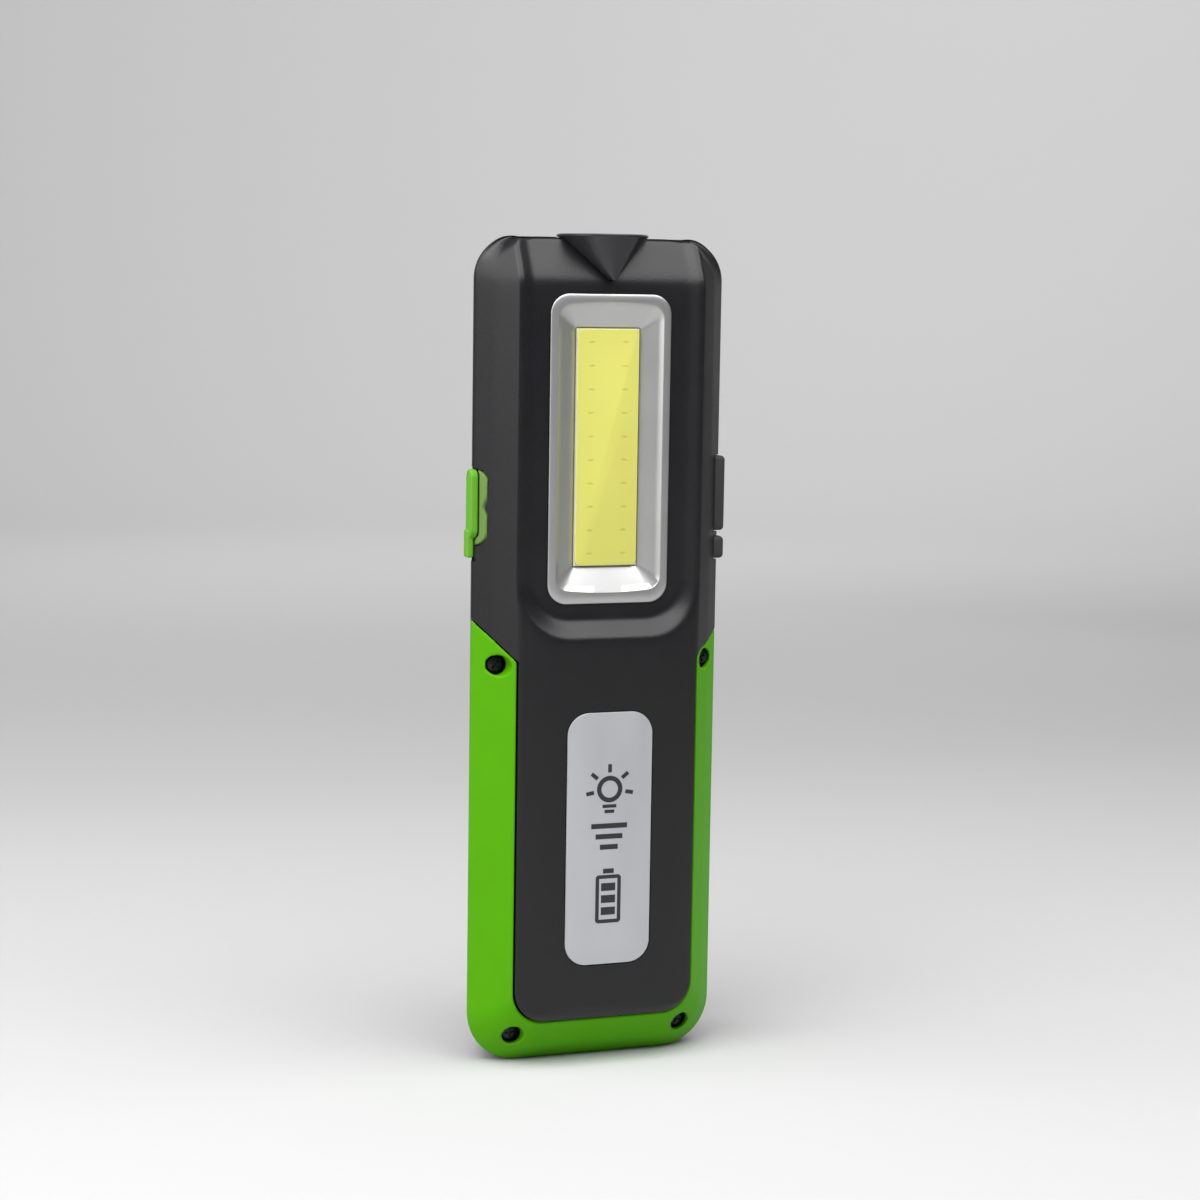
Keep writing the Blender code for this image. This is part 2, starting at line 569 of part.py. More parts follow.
def socket(name, corners, wall, tongue):
    """A sheet-metal socket shell open at its outer end, with the contact tongue inside."""
    low, high = corners
    shell = box(name, low, high, material("socket_steel", (0.7, 0.7, 0.7), 0.3, 1.0))
    inner_low = (low[0] - 2 * MM, low[1] + wall, low[2] + wall)
    inner_high = (high[0] - 1.5 * MM, high[1] - wall, high[2] - wall)
    hollow = box(name + "_hollow", inner_low, inner_high)
    middle = (low[1] + high[1]) / 2
    core = box(name + "_tongue", (low[0] + 1 * MM, middle - tongue / 2, low[2] + 3 * wall),
               (high[0], middle + tongue / 2, high[2] - 3 * wall))
    return cut(shell, cut(hollow, core))


def control():
    """The control board with its sockets and its two push switches."""
    board = box("control_board", (-26 * MM, BOARD_DEPTH, 121 * MM),
                (26 * MM, BOARD_DEPTH + 1.2 * MM, 161 * MM), circuit())
    for number, (x, z) in enumerate(BOARD_SCREWS, 1):
        cut(board, peg(f"board_hole_{number}", (x, 15 * MM, z), 1.1 * MM, 4 * MM))
        screw = peg(f"board_screw_{number}", (x, 14.9 * MM, z), 1.9 * MM, 1.3 * MM, steel())
        join(screw, peg(f"board_shank_{number}", (x, 16 * MM, z), 0.8 * MM, 7 * MM))
    socket("usb_socket", USB_BOX, 0.5 * MM, 1.6 * MM)
    socket("charging_socket", CHARGE_BOX, 0.4 * MM, 0.8 * MM)
    black = material("switch_black", (0.02, 0.02, 0.02), 0.5)
    for name, middle, half in (("tact_switch_main", 145 * MM, 3.5 * MM),
                               ("tact_switch_torch", 131 * MM, 2.6 * MM)):
        body = box(name, (22 * MM, 11.8 * MM, middle - half),
                   (27.2 * MM, BOARD_DEPTH - GAP, middle + half), black)
        join(body, cylinder(name + "_stem", (27 * MM, 13.6 * MM, middle), 1.2 * MM, 1.2 * MM, "X",
                            steps=FINE_STEPS))


def wiring():
    """Leads from the cell to the board and from the board to both lights."""
    red = material("lead_red", (0.5, 0.02, 0.02), 0.5)
    black = material("lead_black", (0.02, 0.02, 0.02), 0.5)
    landing = BOARD_DEPTH - 2 * GAP
    thin = 0.6 * MM
    for name, look, side in (("positive", red, 1), ("negative", black, -1)):
        route = [(2 * MM, CELL_DEPTH, 96.2 * MM)]
        if side < 0:
            route = [(-4 * MM, CELL_DEPTH, 28 * MM), (-8.6 * MM, CELL_DEPTH, 27.8 * MM),
                     (-11.2 * MM, CELL_DEPTH, 31 * MM), (-11.2 * MM, CELL_DEPTH, 60 * MM),
                     (-11.2 * MM, CELL_DEPTH, 90 * MM)]
        route += [(side * 6 * MM, 18 * MM, 104 * MM), (side * 6 * MM, 13.5 * MM, 114 * MM),
                  (side * 6 * MM, 12.8 * MM, 122 * MM), (side * 6 * MM, landing, 124.5 * MM)]
        lead(f"battery_lead_{name}", route, 0.8 * MM, look)
        from_light = [(side * 3 * MM, 8.2 * MM, 131.3 * MM), (side * 3.2 * MM, 11 * MM, 131.3 * MM),
                      (side * 10 * MM, 13.4 * MM, 129 * MM), (side * 11 * MM, landing, 129 * MM)]
        lead(f"light_lead_{name}", from_light, thin, look)
        from_torch = [(side * 2 * MM, 11.6 * MM, 196.1 * MM), (side * 2.4 * MM, 12.4 * MM, 185 * MM),
                      (side * 5 * MM, 13 * MM, 170 * MM), (side * 7 * MM, 13.2 * MM, 160 * MM),
                      (side * 7 * MM, landing, 157 * MM)]
        lead(f"torch_lead_{name}", from_torch, thin, look)


# ---- outside pieces ---------------------------------------------------------------------
def side_pieces():
    """The rubber port cover on the left and the two push buttons on the right."""
    plate("port_cover", port_profile(0), PORT_BOTTOM, PORT_TOP - PORT_BOTTOM, "Z", green())
    for name, (bottom, top) in BUTTONS.items():
        box(name, (29.5 * MM, BUTTON_DEPTHS[0], bottom), (PROTRUSION, BUTTON_DEPTHS[1], top),
            material("button_rubber", (0.03, 0.03, 0.03), 0.6))


def label_plate():
    shape = outline(LABEL_HALF, LABEL_BOTTOM, LABEL_TOP, 5.7 * MM, 5.7 * MM)
    plate("label_plate", shape, 0, 0.5 * MM, "Y", material("label_silver", (0.55, 0.56, 0.58), 0.4, 0.5))


def housing_screws():
    """Four long screws, from the front counterbores into the rear housing's bosses."""
    for number, (x, z) in enumerate(SCREW_PLACES, 1):
        screw = peg(f"housing_screw_{number}", (x, 9.4 * MM, z), 2.1 * MM, 1.1 * MM, steel())
        for turn, long, short in ((1, 1.3 * MM, 0.35 * MM), (2, 0.35 * MM, 1.3 * MM)):
            cut(screw, box(f"screw_slot_{number}_{turn}", (x - long, 9 * MM, z - short),
                           (x + long, 9.9 * MM, z + short)))
        join(screw, peg(f"screw_shank_{number}", (x, 10.3 * MM, z), 1 * MM, 11.9 * MM))


def magnets():
    for name, height in MAGNET_HEIGHTS.items():
        cylinder(name, (0, 32 * MM, height), MAGNET_RADIUS, 4 * MM, "Y",
                 material("magnet_nickel", (0.55, 0.55, 0.56), 0.25, 1.0))


def hook_base():
    """The swivelling disc that carries the hook, and the screw that holds it."""
    base = cylinder("hook_base", (0, 31.2 * MM, HOOK_BASE_Z), HOOK_BASE_RADIUS, 3.5 * MM, "Y",
                    material("hook_base_plastic", (0.03, 0.03, 0.033), 0.5))
    cut(base,
        box("hook_slot", (-3.6 * MM, 30 * MM, HOOK_AXIS_Z - 3.4 * MM),
            (3.6 * MM, 36 * MM, HOOK_AXIS_Z + 3.4 * MM)),
        cylinder("hook_pin_hole", (-7.1 * MM, HOOK_AXIS_DEPTH, HOOK_AXIS_Z), 1.1 * MM, 14.2 * MM, "X",
                 steps=FINE_STEPS),
        peg("base_screw_hole", (0, 30 * MM, HOOK_BASE_Z), 1.5 * MM, 6 * MM),
        peg("base_screw_seat", (0, 33 * MM, HOOK_BASE_Z), 2.3 * MM, 4 * MM))
    screw = peg("hook_base_screw", (0, 33.3 * MM, HOOK_BASE_Z), 2 * MM, 1.2 * MM, steel())
    join(screw, peg("base_screw_shank", (0, 28.4 * MM, HOOK_BASE_Z), 1.1 * MM, 5.2 * MM))
    cylinder("hook_pin", (-6.8 * MM, HOOK_AXIS_DEPTH, HOOK_AXIS_Z), 0.8 * MM, 13.6 * MM, "X", steel(),
             FINE_STEPS)


def hook():
    """The fold-out hook, lying flat against the back: a stem that curls into an open eye."""
    inner, outer, stem = 6 * MM, 9.2 * MM, 3 * MM
    centre, tip = (0, EYE_Z), 168
    right = math.degrees(math.asin(stem / outer)) - 90
    left = -90 - math.degrees(math.asin(stem / inner))
    foot = HOOK_AXIS_Z - 0.2 * MM
    shape = ([(-stem, foot), (stem, foot)] + arc(centre, outer, right, tip, 24)
             + arc(centre, inner, tip, left, 24))
    top = 35 * MM
    made = plate("hook", shape, top, DEPTH - top, "Y", steel())
    join(made,
         box("hook_web", (-stem, HOOK_AXIS_DEPTH, foot), (stem, DEPTH - 0.01 * MM, HOOK_AXIS_Z + 3 * MM)),
         cylinder("hook_barrel", (-3.2 * MM, HOOK_AXIS_DEPTH, HOOK_AXIS_Z), 1.8 * MM, 6.4 * MM, "X",
                  steps=FINE_STEPS))
    cut(made, cylinder("hook_bore", (-4 * MM, HOOK_AXIS_DEPTH, HOOK_AXIS_Z), 1.1 * MM, 8 * MM, "X",
                       steps=FINE_STEPS))


def place_pivots():
    """Put each moving piece's origin on its joint's axis."""
    pivots = {
        "port_cover": (-33.3 * MM, 13.6 * MM, PORT_TOP),
        "switch_button": (PROTRUSION, 13.5 * MM, sum(BUTTONS["switch_button"]) / 2),
        "torch_button": (PROTRUSION, 13.5 * MM, sum(BUTTONS["torch_button"]) / 2),
        "hook_base": (0, 31.2 * MM, HOOK_BASE_Z),
        "hook": (0, HOOK_AXIS_DEPTH, HOOK_AXIS_Z),
        "hook_pin": (0, HOOK_AXIS_DEPTH, HOOK_AXIS_Z),
    }
    for name, (x, depth, z) in pivots.items():
        obj = bpy.data.objects[name]
        place = Vector((x, y_at(depth), z))
        obj.data.transform(Matrix.Translation(-place))
        obj.location = place


def main():
    clear_scene()
    front_housing()
    rear_housing()
    bumper_frame()
    work_light()
    torch()
    battery()
    control()
    wiring()
    side_pieces()
    label_plate()
    housing_screws()
    magnets()
    hook_base()
    hook()
    place_pivots()


main()
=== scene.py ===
"""Looks of a rechargeable inspection lamp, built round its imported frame.

The lamp stands upright: its face looks along -Y, +Z runs up its length, and depths are measured
from the label's face towards the back. Each sub-assembly is a class that models its own pieces
and gives them their finishes.
"""
from __future__ import annotations

import logging
import math
from dataclasses import dataclass
from enum import Enum
from typing import Sequence

import bmesh
import bpy
from mathutils import Matrix, Vector

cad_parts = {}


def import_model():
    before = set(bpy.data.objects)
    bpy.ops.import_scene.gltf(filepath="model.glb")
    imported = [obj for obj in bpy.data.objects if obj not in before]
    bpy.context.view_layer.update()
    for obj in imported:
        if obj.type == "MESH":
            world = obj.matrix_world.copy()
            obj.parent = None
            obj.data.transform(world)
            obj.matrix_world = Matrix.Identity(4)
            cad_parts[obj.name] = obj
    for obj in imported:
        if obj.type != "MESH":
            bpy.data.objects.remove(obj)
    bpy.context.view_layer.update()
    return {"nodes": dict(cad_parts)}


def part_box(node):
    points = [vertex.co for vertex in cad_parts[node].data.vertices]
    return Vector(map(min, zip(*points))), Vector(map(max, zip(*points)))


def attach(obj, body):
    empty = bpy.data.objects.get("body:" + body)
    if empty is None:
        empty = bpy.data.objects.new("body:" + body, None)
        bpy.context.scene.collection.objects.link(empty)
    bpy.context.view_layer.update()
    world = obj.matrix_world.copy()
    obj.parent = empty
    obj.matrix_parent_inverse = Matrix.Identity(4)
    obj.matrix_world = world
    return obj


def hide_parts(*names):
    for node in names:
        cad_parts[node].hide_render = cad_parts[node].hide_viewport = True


LOG = logging.getLogger("lamp")
MM = 0.001
MERGE = 1e-6
SHARP = 35.0  # degrees above which an edge stays sharp
ROUND = 96  # segments in the full turn of a large round piece
HOOK_Z = 104 * MM
MAGNET_ZS = (34 * MM, 172 * MM)
Colour = tuple[float, float, float]
Number = "float | Socket"


class Body(str, Enum):
    """The rigid bodies that pieces ride on."""

    LAMP = "lamp_body"
    PORT_COVER = "port_cover"
    SWITCH = "switch_button"
    TORCH_SWITCH = "torch_button"
    HOOK_BASE = "hook_base"
    HOOK = "hook"


class Cut(str, Enum):
    """How one solid changes another."""

    REMOVE = "DIFFERENCE"
    KEEP_COMMON = "INTERSECT"
    ADD = "UNION"


# ---- shader building ----------------------------------------------------------------


class Socket:
    """A node output that takes part in Python arithmetic."""

    def __init__(self, shader: Shader, output: bpy.types.NodeSocket) -> None:
        """Wrap an output of one of the shader's nodes."""
        self.shader = shader
        self.output = output

    def _math(self, operation: str, *values: Number) -> Socket:
        """Add a Math node.

        Args:
            operation: the Math node's operation.
            values: its inputs, in order.

        Returns:
            The node's output.
        """
        return self.shader.value("ShaderNodeMath", {"operation": operation}, dict(enumerate(values)))

    def __add__(self, other: Number) -> Socket:
        """Sum."""
        return self._math("ADD", self, other)

    __radd__ = __add__

    def __sub__(self, other: Number) -> Socket:
        """Difference."""
        return self._math("SUBTRACT", self, other)

    def __rsub__(self, other: Number) -> Socket:
        """Difference the other way round."""
        return self._math("SUBTRACT", other, self)

    def __mul__(self, other: Number) -> Socket:
        """Product."""
        return self._math("MULTIPLY", self, other)

    __rmul__ = __mul__

    def __truediv__(self, other: Number) -> Socket:
        """Quotient."""
        return self._math("DIVIDE", self, other)

    def __pow__(self, other: Number) -> Socket:
        """Power."""
        return self._math("POWER", self, other)

    def __abs__(self) -> Socket:
        """Absolute value."""
        return self._math("ABSOLUTE", self)

    def nearest(self, pitch: float) -> Socket:
        """Signed distance to the nearest multiple of a pitch."""
        return self._math("WRAP", self, pitch / 2, -pitch / 2)

    def ramp(self, start: float, end: float) -> Socket:
        """A smooth step from 0 at start to 1 at end."""
        step = {"interpolation_type": "SMOOTHSTEP"}
        return self.shader.value("ShaderNodeMapRange", step, {0: self, 1: start, 2: end, 3: 0.0, 4: 1.0})


class Shader:
    """A material under construction, around its Principled shader."""

    def __init__(self, name: str) -> None:
        """Start a material of that name."""
        self.material = bpy.data.materials.new(name)
        self.material.use_nodes = True
        self.tree = self.material.node_tree
        self.surface = self.tree.nodes["Principled BSDF"]

    def node(self, kind: str, settings: dict[str, object], inputs: dict[object, object]) -> bpy.types.Node:
        """Add one node.

        Args:
            kind: the node's type.
            settings: properties of the node, set before its inputs.
            inputs: value, colour or Socket for each input, by name or number.

        Returns:
            The new node.
        """
        made = self.tree.nodes.new(kind)
        for name, setting in settings.items():
            setattr(made, name, setting)
        for key, value in inputs.items():
            self.feed(made.inputs[key], value)
        return made

    def feed(self, target: bpy.types.NodeSocket, value: object) -> None:
        """Link a Socket to an input, or set the input's own value."""
        if isinstance(value, Socket):
            self.tree.links.new(value.output, target)
        else:
            target.default_value = value

    def value(self, kind: str, settings: dict[str, object], inputs: dict[object, object],
              output: object = 0) -> Socket:
        """Add one node and return one of its outputs."""
        return Socket(self, self.node(kind, settings, inputs).outputs[output])

    def place(self) -> Socket:
        """The point on the surface, in the object's own coordinates."""
        return self.value("ShaderNodeTexCoord", {}, {}, "Object")

    def axes(self) -> tuple[Socket, Socket, Socket]:
        """The point's X, Y and Z, each as a number."""
        split = self.node("ShaderNodeSeparateXYZ", {}, {0: self.place()})
        return Socket(self, split.outputs[0]), Socket(self, split.outputs[1]), Socket(self, split.outputs[2])

    def noise(self, size: float, detail: float = 2.0, stretch: Colour = (1, 1, 1)) -> Socket:
        """Noise with features of about that size in metres, stretched along the axes."""
        scaled = self.value("ShaderNodeVectorMath", {"operation": "MULTIPLY"},
                            {0: self.place(), 1: tuple(1 / s for s in stretch)})
        return self.value("ShaderNodeTexNoise", {}, {"Vector": scaled, "Scale": 1 / size, "Detail": detail})

    def mixed(self, first: object, second: object, share: Number) -> Socket:
        """Blend two colours."""
        made = self.node("ShaderNodeMix", {"data_type": "RGBA"}, {})
        self.feed(made.inputs[0], share)
        self.feed(made.inputs[6], first)
        self.feed(made.inputs[7], second)
        return Socket(self, made.outputs[2])

    def relief(self, height: Number, depth: float) -> Socket:
        """A bump of a given depth in metres."""
        return self.value("ShaderNodeBump", {}, {"Strength": 1.0, "Distance": depth, "Height": height})

    def paint(self, colour: object, roughness: Number, normal: Socket | None = None) -> None:
        """Feed the surface its colour, its roughness and, if given, its bump."""
        self.feed(self.surface.inputs["Base Color"], colour)
        self.feed(self.surface.inputs["Roughness"], roughness)
        if normal:
            self.feed(self.surface.inputs["Normal"], normal)


def rgba(colour: Colour, gain: float = 1.0) -> tuple[float, float, float, float]:
    """A colour with full alpha, its brightness scaled."""
    return (*(min(1.0, part * gain) for part in colour), 1.0)


@dataclass(frozen=True)
class Finish:
    """A moulded or plated surface: its colour, gloss and fine grain.

    Sizes are in metres. Mottle is how far colour and gloss drift over a patch.
    """

    name: str
    colour: Colour
    roughness: float
    metallic: float = 0.0
    grain: float = 0.25 * MM
    grain_depth: float = 0.006 * MM
    patch: float = 9 * MM
    mottle: float = 0.10
    coat: float = 0.0
    gloss: float = 0.5

    def drift(self, shader: Shader, share: Socket) -> Socket:
        """The colour, made darker and lighter by the mottle."""
        return shader.mixed(rgba(self.colour, 1 - self.mottle), rgba(self.colour, 1 + self.mottle), share)

    def dress(self, shader: Shader) -> None:
        """Fill in the shader."""
        patches = shader.noise(self.patch, 4.0)
        fine = shader.noise(self.grain, 3.0)
        shader.paint(self.drift(shader, patches),
                     patches * self.mottle + fine * 0.06 + (self.roughness - self.mottle / 2 - 0.03),
                     shader.relief(fine, self.grain_depth))

    def material(self) -> bpy.types.Material:
        """The finish as a material, made once."""
        known = bpy.data.materials.get(self.name)
        if known:
            return known
        shader = Shader(self.name)
        shader.surface.inputs["Metallic"].default_value = self.metallic
        shader.surface.inputs["Coat Weight"].default_value = self.coat
        shader.surface.inputs["Specular IOR Level"].default_value = self.gloss
        self.dress(shader)
        return shader.material


@dataclass(frozen=True)
class SoftTouch(Finish):
    """Charcoal soft-touch moulding: a dull bloom, a fine spark texture and stray dust."""

    dust: float = 1.3 * MM
    dust_colour: Colour = (0.10, 0.10, 0.105)

    def dress(self, shader: Shader) -> None:
        """Fill in the shader."""
        patches = shader.noise(self.patch, 4.0)
        spark = shader.noise(self.grain, 2.0)
        specks = shader.value("ShaderNodeTexVoronoi", {}, {"Vector": shader.place(), "Scale": 1 / self.dust})
        dust = (1 - specks.ramp(0.03, 0.07)) * patches.ramp(0.52, 0.72)
        base = self.drift(shader, patches)
        shader.paint(shader.mixed(base, rgba(self.dust_colour), dust * 0.5),
                     patches * 0.10 + spark * 0.08 + (self.roughness - 0.09),
                     shader.relief(spark, self.grain_depth))


@dataclass(frozen=True)
class Phosphor(Finish):
    """The light panel's gel: a pale rim of painted highlight, a painted glow, and two columns of dark bond
    marks below the skin.
    """

    half: float = 8.15 * MM
    column: float = 4.45 * MM
    pitch: float = 5.86 * MM
    first: float = 130.7 * MM
    centre: float = 157.15 * MM
    half_height: float = 29.5 * MM
    # width of the painted highlight: a pale band along the gel's edges
    rim: float = 0.15 * MM
    mark_half: float = 0.78 * MM
    mark_half_height: float = 0.26 * MM

    def dress(self, shader: Shader) -> None:
        """Fill in the shader."""
        x, _, z = shader.axes()
        along = (z - self.first).nearest(self.pitch)
        across = abs(x) - self.column
        wave = shader.noise(1.1 * MM, 1.0)
        mark = ((across / self.mark_half) ** 2
                + ((along + (wave - 0.5) * (0.6 * MM)) / self.mark_half_height) ** 2) ** 0.5
        marks = (1 - mark.ramp(0.45, 1.5)) * 0.55
        # painted highlight: a pale band along the edges stands in for light on the gel's rounded shoulder
        edge = abs(x).ramp(self.half - self.rim, self.half)
        ends = abs(z - self.centre).ramp(self.half_height - self.rim, self.half_height)
        rim = 1 - (1 - edge) * (1 - ends)
        cloud = shader.noise(14 * MM, 3.0)
        gel = shader.mixed(rgba(self.colour, 0.96), rgba(self.colour, 1.04), cloud)
        pale = shader.mixed(gel, (0.86, 0.86, 0.42, 1), rim * 0.7)
        tint = shader.mixed(pale, (0.30, 0.33, 0.05, 1), marks)
        shader.paint(tint, cloud * 0.1 + self.roughness,
                     shader.relief(shader.noise(0.9 * MM, 2.0), 0.012 * MM))
        # painted glow: the gel's colour is fed to emission though the lamp is switched off
        shader.feed(shader.surface.inputs["Emission Color"], tint)
        shader.surface.inputs["Emission Strength"].default_value = 0.16


@dataclass(frozen=True)
class BrushedFoil(Finish):
    """Satin metal with faint lines along Z."""

    lines: float = 0.12 * MM

    def dress(self, shader: Shader) -> None:
        """Fill in the shader."""
        streaks = shader.noise(self.lines, 2.0, (1, 1, 90))
        bands = shader.noise(5 * MM, 2.0, (1, 1, 6))
        shader.paint(self.drift(shader, bands), streaks * 0.12 + bands * 0.08 + (self.roughness - 0.1),
                     shader.relief(streaks, self.grain_depth))


@dataclass(frozen=True)
class ClearLens(Finish):
    """Clear moulded plastic."""

    def dress(self, shader: Shader) -> None:
        """Fill in the shader."""
        shader.paint(rgba(self.colour), shader.noise(self.patch, 2.0) * 0.03 + self.roughness)
        shader.surface.inputs["Transmission Weight"].default_value = 1.0
        shader.surface.inputs["IOR"].default_value = 1.49


@dataclass(frozen=True)
class CircuitBoard(Finish):
    """Solder mask with a pattern of tracks under it."""

    def dress(self, shader: Shader) -> None:
        """Fill in the shader."""
        x, _, z = shader.axes()
        drift = shader.noise(6 * MM, 0.0) * (5 * MM)
        tracks = 1 - abs((x + z + drift).nearest(1.6 * MM)).ramp(0.18 * MM, 0.30 * MM)
        colour = shader.mixed(rgba(self.colour), rgba(self.colour, 1.9), tracks)
        shader.paint(colour, tracks * 0.1 + self.roughness, shader.relief(tracks, 0.02 * MM))


CHARCOAL = SoftTouch("charcoal_soft_touch", (0.0065, 0.0065, 0.0078), 0.37, grain=0.42 * MM,
                     grain_depth=0.032 * MM, gloss=0.40)
GREEN = Finish("lime_rubber", (0.080, 0.342, 0.0012), 0.42, grain=0.30 * MM, grain_depth=0.006 * MM,
               mottle=0.05, gloss=0.09)
SILVER = Finish("satin_silver", (0.50, 0.50, 0.50), 0.36, 0.85, grain=0.10 * MM,
                grain_depth=0.002 * MM, mottle=0.04)
COLLAR = Finish("smooth_charcoal", (0.022, 0.022, 0.025), 0.32, grain_depth=0.003 * MM)
PHOSPHOR = Phosphor("phosphor_gel", (0.56, 0.55, 0.114), 0.46)
BOARD_WHITE = Finish("white_mask", (0.80, 0.80, 0.72), 0.45, mottle=0.05)
FOIL = BrushedFoil("satin_foil", (0.50, 0.51, 0.54), 0.42, 0.45, grain_depth=0.002 * MM, mottle=0.06)
INK = Finish("black_ink", (0.018, 0.018, 0.020), 0.50, mottle=0.15)
LENS = ClearLens("clear_plastic", (0.95, 0.97, 1.0), 0.02)
MIRROR = Finish("mirror_plating", (0.86, 0.86, 0.87), 0.10, 1.0, grain_depth=0.0005 * MM, mottle=0.03)
DARK_SCREW = Finish("blackened_screw", (0.028, 0.028, 0.031), 0.36, 0.8, mottle=0.2)
STEEL = Finish("zinc_steel", (0.42, 0.42, 0.43), 0.30, 1.0, grain=0.15 * MM, mottle=0.10)
NICKEL = BrushedFoil("nickel_plate", (0.58, 0.57, 0.55), 0.26, 1.0, grain_depth=0.001 * MM, mottle=0.08)
# darker, greyer green painted as the port flange's shade and the pale sheen on its edge
FLANGE_SHADE_AND_SHEEN_GREEN = Finish("lime_edge_painted_shade_and_sheen", (0.13, 0.235, 0.055), 0.55, mottle=0.12, gloss=0.2)
PORT_GREEN = Finish("lime_plug", (0.120, 0.37, 0.026), 0.50, grain=0.30 * MM, mottle=0.05, gloss=0.15)
BUTTON = SoftTouch("button_rubber", (0.006, 0.006, 0.007), 0.50, gloss=0.2)
ALUMINIUM = BrushedFoil("sheet_aluminium", (0.62, 0.63, 0.64), 0.36, 1.0, grain_depth=0.002 * MM)
WRAP = Finish("cell_wrap", (0.03, 0.16, 0.42), 0.35, coat=0.3)
FOAM = Finish("black_foam", (0.03, 0.03, 0.03), 0.9, grain=0.6 * MM, grain_depth=0.2 * MM)
CIRCUIT = CircuitBoard("green_board", (0.012, 0.12, 0.05), 0.35)
RED_LEAD = Finish("red_insulation", (0.42, 0.02, 0.02), 0.40)
BLACK_LEAD = Finish("black_insulation", (0.02, 0.02, 0.02), 0.40)
PAPER = Finish("studio_paper", (0.54, 0.54, 0.54), 0.9, grain_depth=0, mottle=0.005)


# ---- modelling tools ------------------------------------------------------------------


def smooth_max(first: float, second: float, width: float) -> float:
    """The larger of two values, with the change-over rounded over a width."""
    return (first + second + math.sqrt((first - second) ** 2 + width ** 2)) / 2


def soft_ramp(value: float, width: float) -> float:
    """Zero below 0 and the value above it, with a rounded start."""
    return (value + math.sqrt(value ** 2 + width ** 2)) / 2


@dataclass(frozen=True)
class Steps:
    """How many steps a ring of points takes along each stretch of a rounded rectangle."""

    flat: int
    corner: int
    side: int


@dataclass(frozen=True)
class Outline:
    """A rounded rectangle seen from the front, at a depth. Arch bows its two ends outwards."""

    depth: float
    half: float
    bottom: float
    top: float
    low_round: float
    high_round: float
    arch: float = 0.0

    def towards(self, other: Outline, share: float) -> Outline:
        """The outline part of the way to another one."""
        pairs = zip(self.sizes(), other.sizes())
        return Outline(*(a + (b - a) * share for a, b in pairs))

    def sizes(self) -> tuple[float, ...]:
        """All fields, in order."""
        return (self.depth, self.half, self.bottom, self.top, self.low_round, self.high_round, self.arch)

    def shifted(self, depth: float = 0.0, inset: float = 0.0) -> Outline:
        """The outline moved back and drawn in on all sides."""
        low = max(self.low_round - inset, 0.1 * MM)
        high = max(self.high_round - inset, 0.1 * MM)
        return Outline(self.depth + depth, self.half - inset, self.bottom + inset, self.top - inset,
                       low, high, self.arch)

    def points(self, steps: Steps) -> list[tuple[float, float]]:
        """Points (x, z) round the outline, from the middle of its bottom, anticlockwise."""
        low, high = self.half - self.low_round, self.half - self.high_round
        floor, roof = self.bottom + self.low_round, self.top - self.high_round
        ring: list[tuple[float, float]] = []

        def line(start: tuple[float, float], end: tuple[float, float], count: int) -> None:
            """Add a straight stretch, without its last point."""
            for step in range(count):
                share = step / count
                ring.append((start[0] + (end[0] - start[0]) * share, start[1] + (end[1] - start[1]) * share))

        def arc(centre: tuple[float, float], radius: float, start: float) -> None:
            """Add a quarter turn from an angle in degrees, without its last point."""
            for step in range(steps.corner):
                angle = math.radians(start + 90 * step / steps.corner)
                ring.append((centre[0] + radius * math.cos(angle), centre[1] + radius * math.sin(angle)))

        line((0, self.bottom), (low, self.bottom), steps.flat)
        arc((low, floor), self.low_round, -90)
        line((self.half, floor), (self.half, roof), steps.side)
        arc((high, roof), self.high_round, 0)
        line((high, self.top), (-high, self.top), 2 * steps.flat)
        arc((-high, roof), self.high_round, 90)
        line((-self.half, roof), (-self.half, floor), steps.side)
        arc((-low, floor), self.low_round, 180)
        line((-low, self.bottom), (0, self.bottom), steps.flat)
        return [self._bowed(x, z) for x, z in ring]

    def _bowed(self, x: float, z: float) -> tuple[float, float]:
        """A point with the arch of the outline's ends added."""
        if not self.arch:
            return x, z
        middle, reach = (self.bottom + self.top) / 2, (self.top - self.bottom) / 2
        end = (z - middle) / reach
        bow = self.arch * (1 - (x / self.half) ** 2) * max(0.0, abs(end) * 8 - 7)
        return x, z + math.copysign(bow, end)


def rounded_path(keys: Sequence[Outline], place: float, ease: float) -> Outline:
    """A point on the chain of outlines, with each inner key rounded off.

    Args:
        keys: the outlines that the chain runs through.
        place: 0 at the first key, 1 at the second, and so on.
        ease: how far to each side of a key the rounding reaches.

    Returns:
        The outline there.
    """
    nearest = min(max(round(place), 1), len(keys) - 2)
    offset = place - nearest
    if len(keys) > 2 and abs(offset) < ease:
        before = keys[nearest].towards(keys[nearest - 1], ease)
        after = keys[nearest].towards(keys[nearest + 1], ease)
        share = (offset + ease) / (2 * ease)
        return before.towards(keys[nearest], share).towards(keys[nearest].towards(after, share), share)
    start = min(int(place), len(keys) - 2)
    return keys[start].towards(keys[start + 1], place - start)


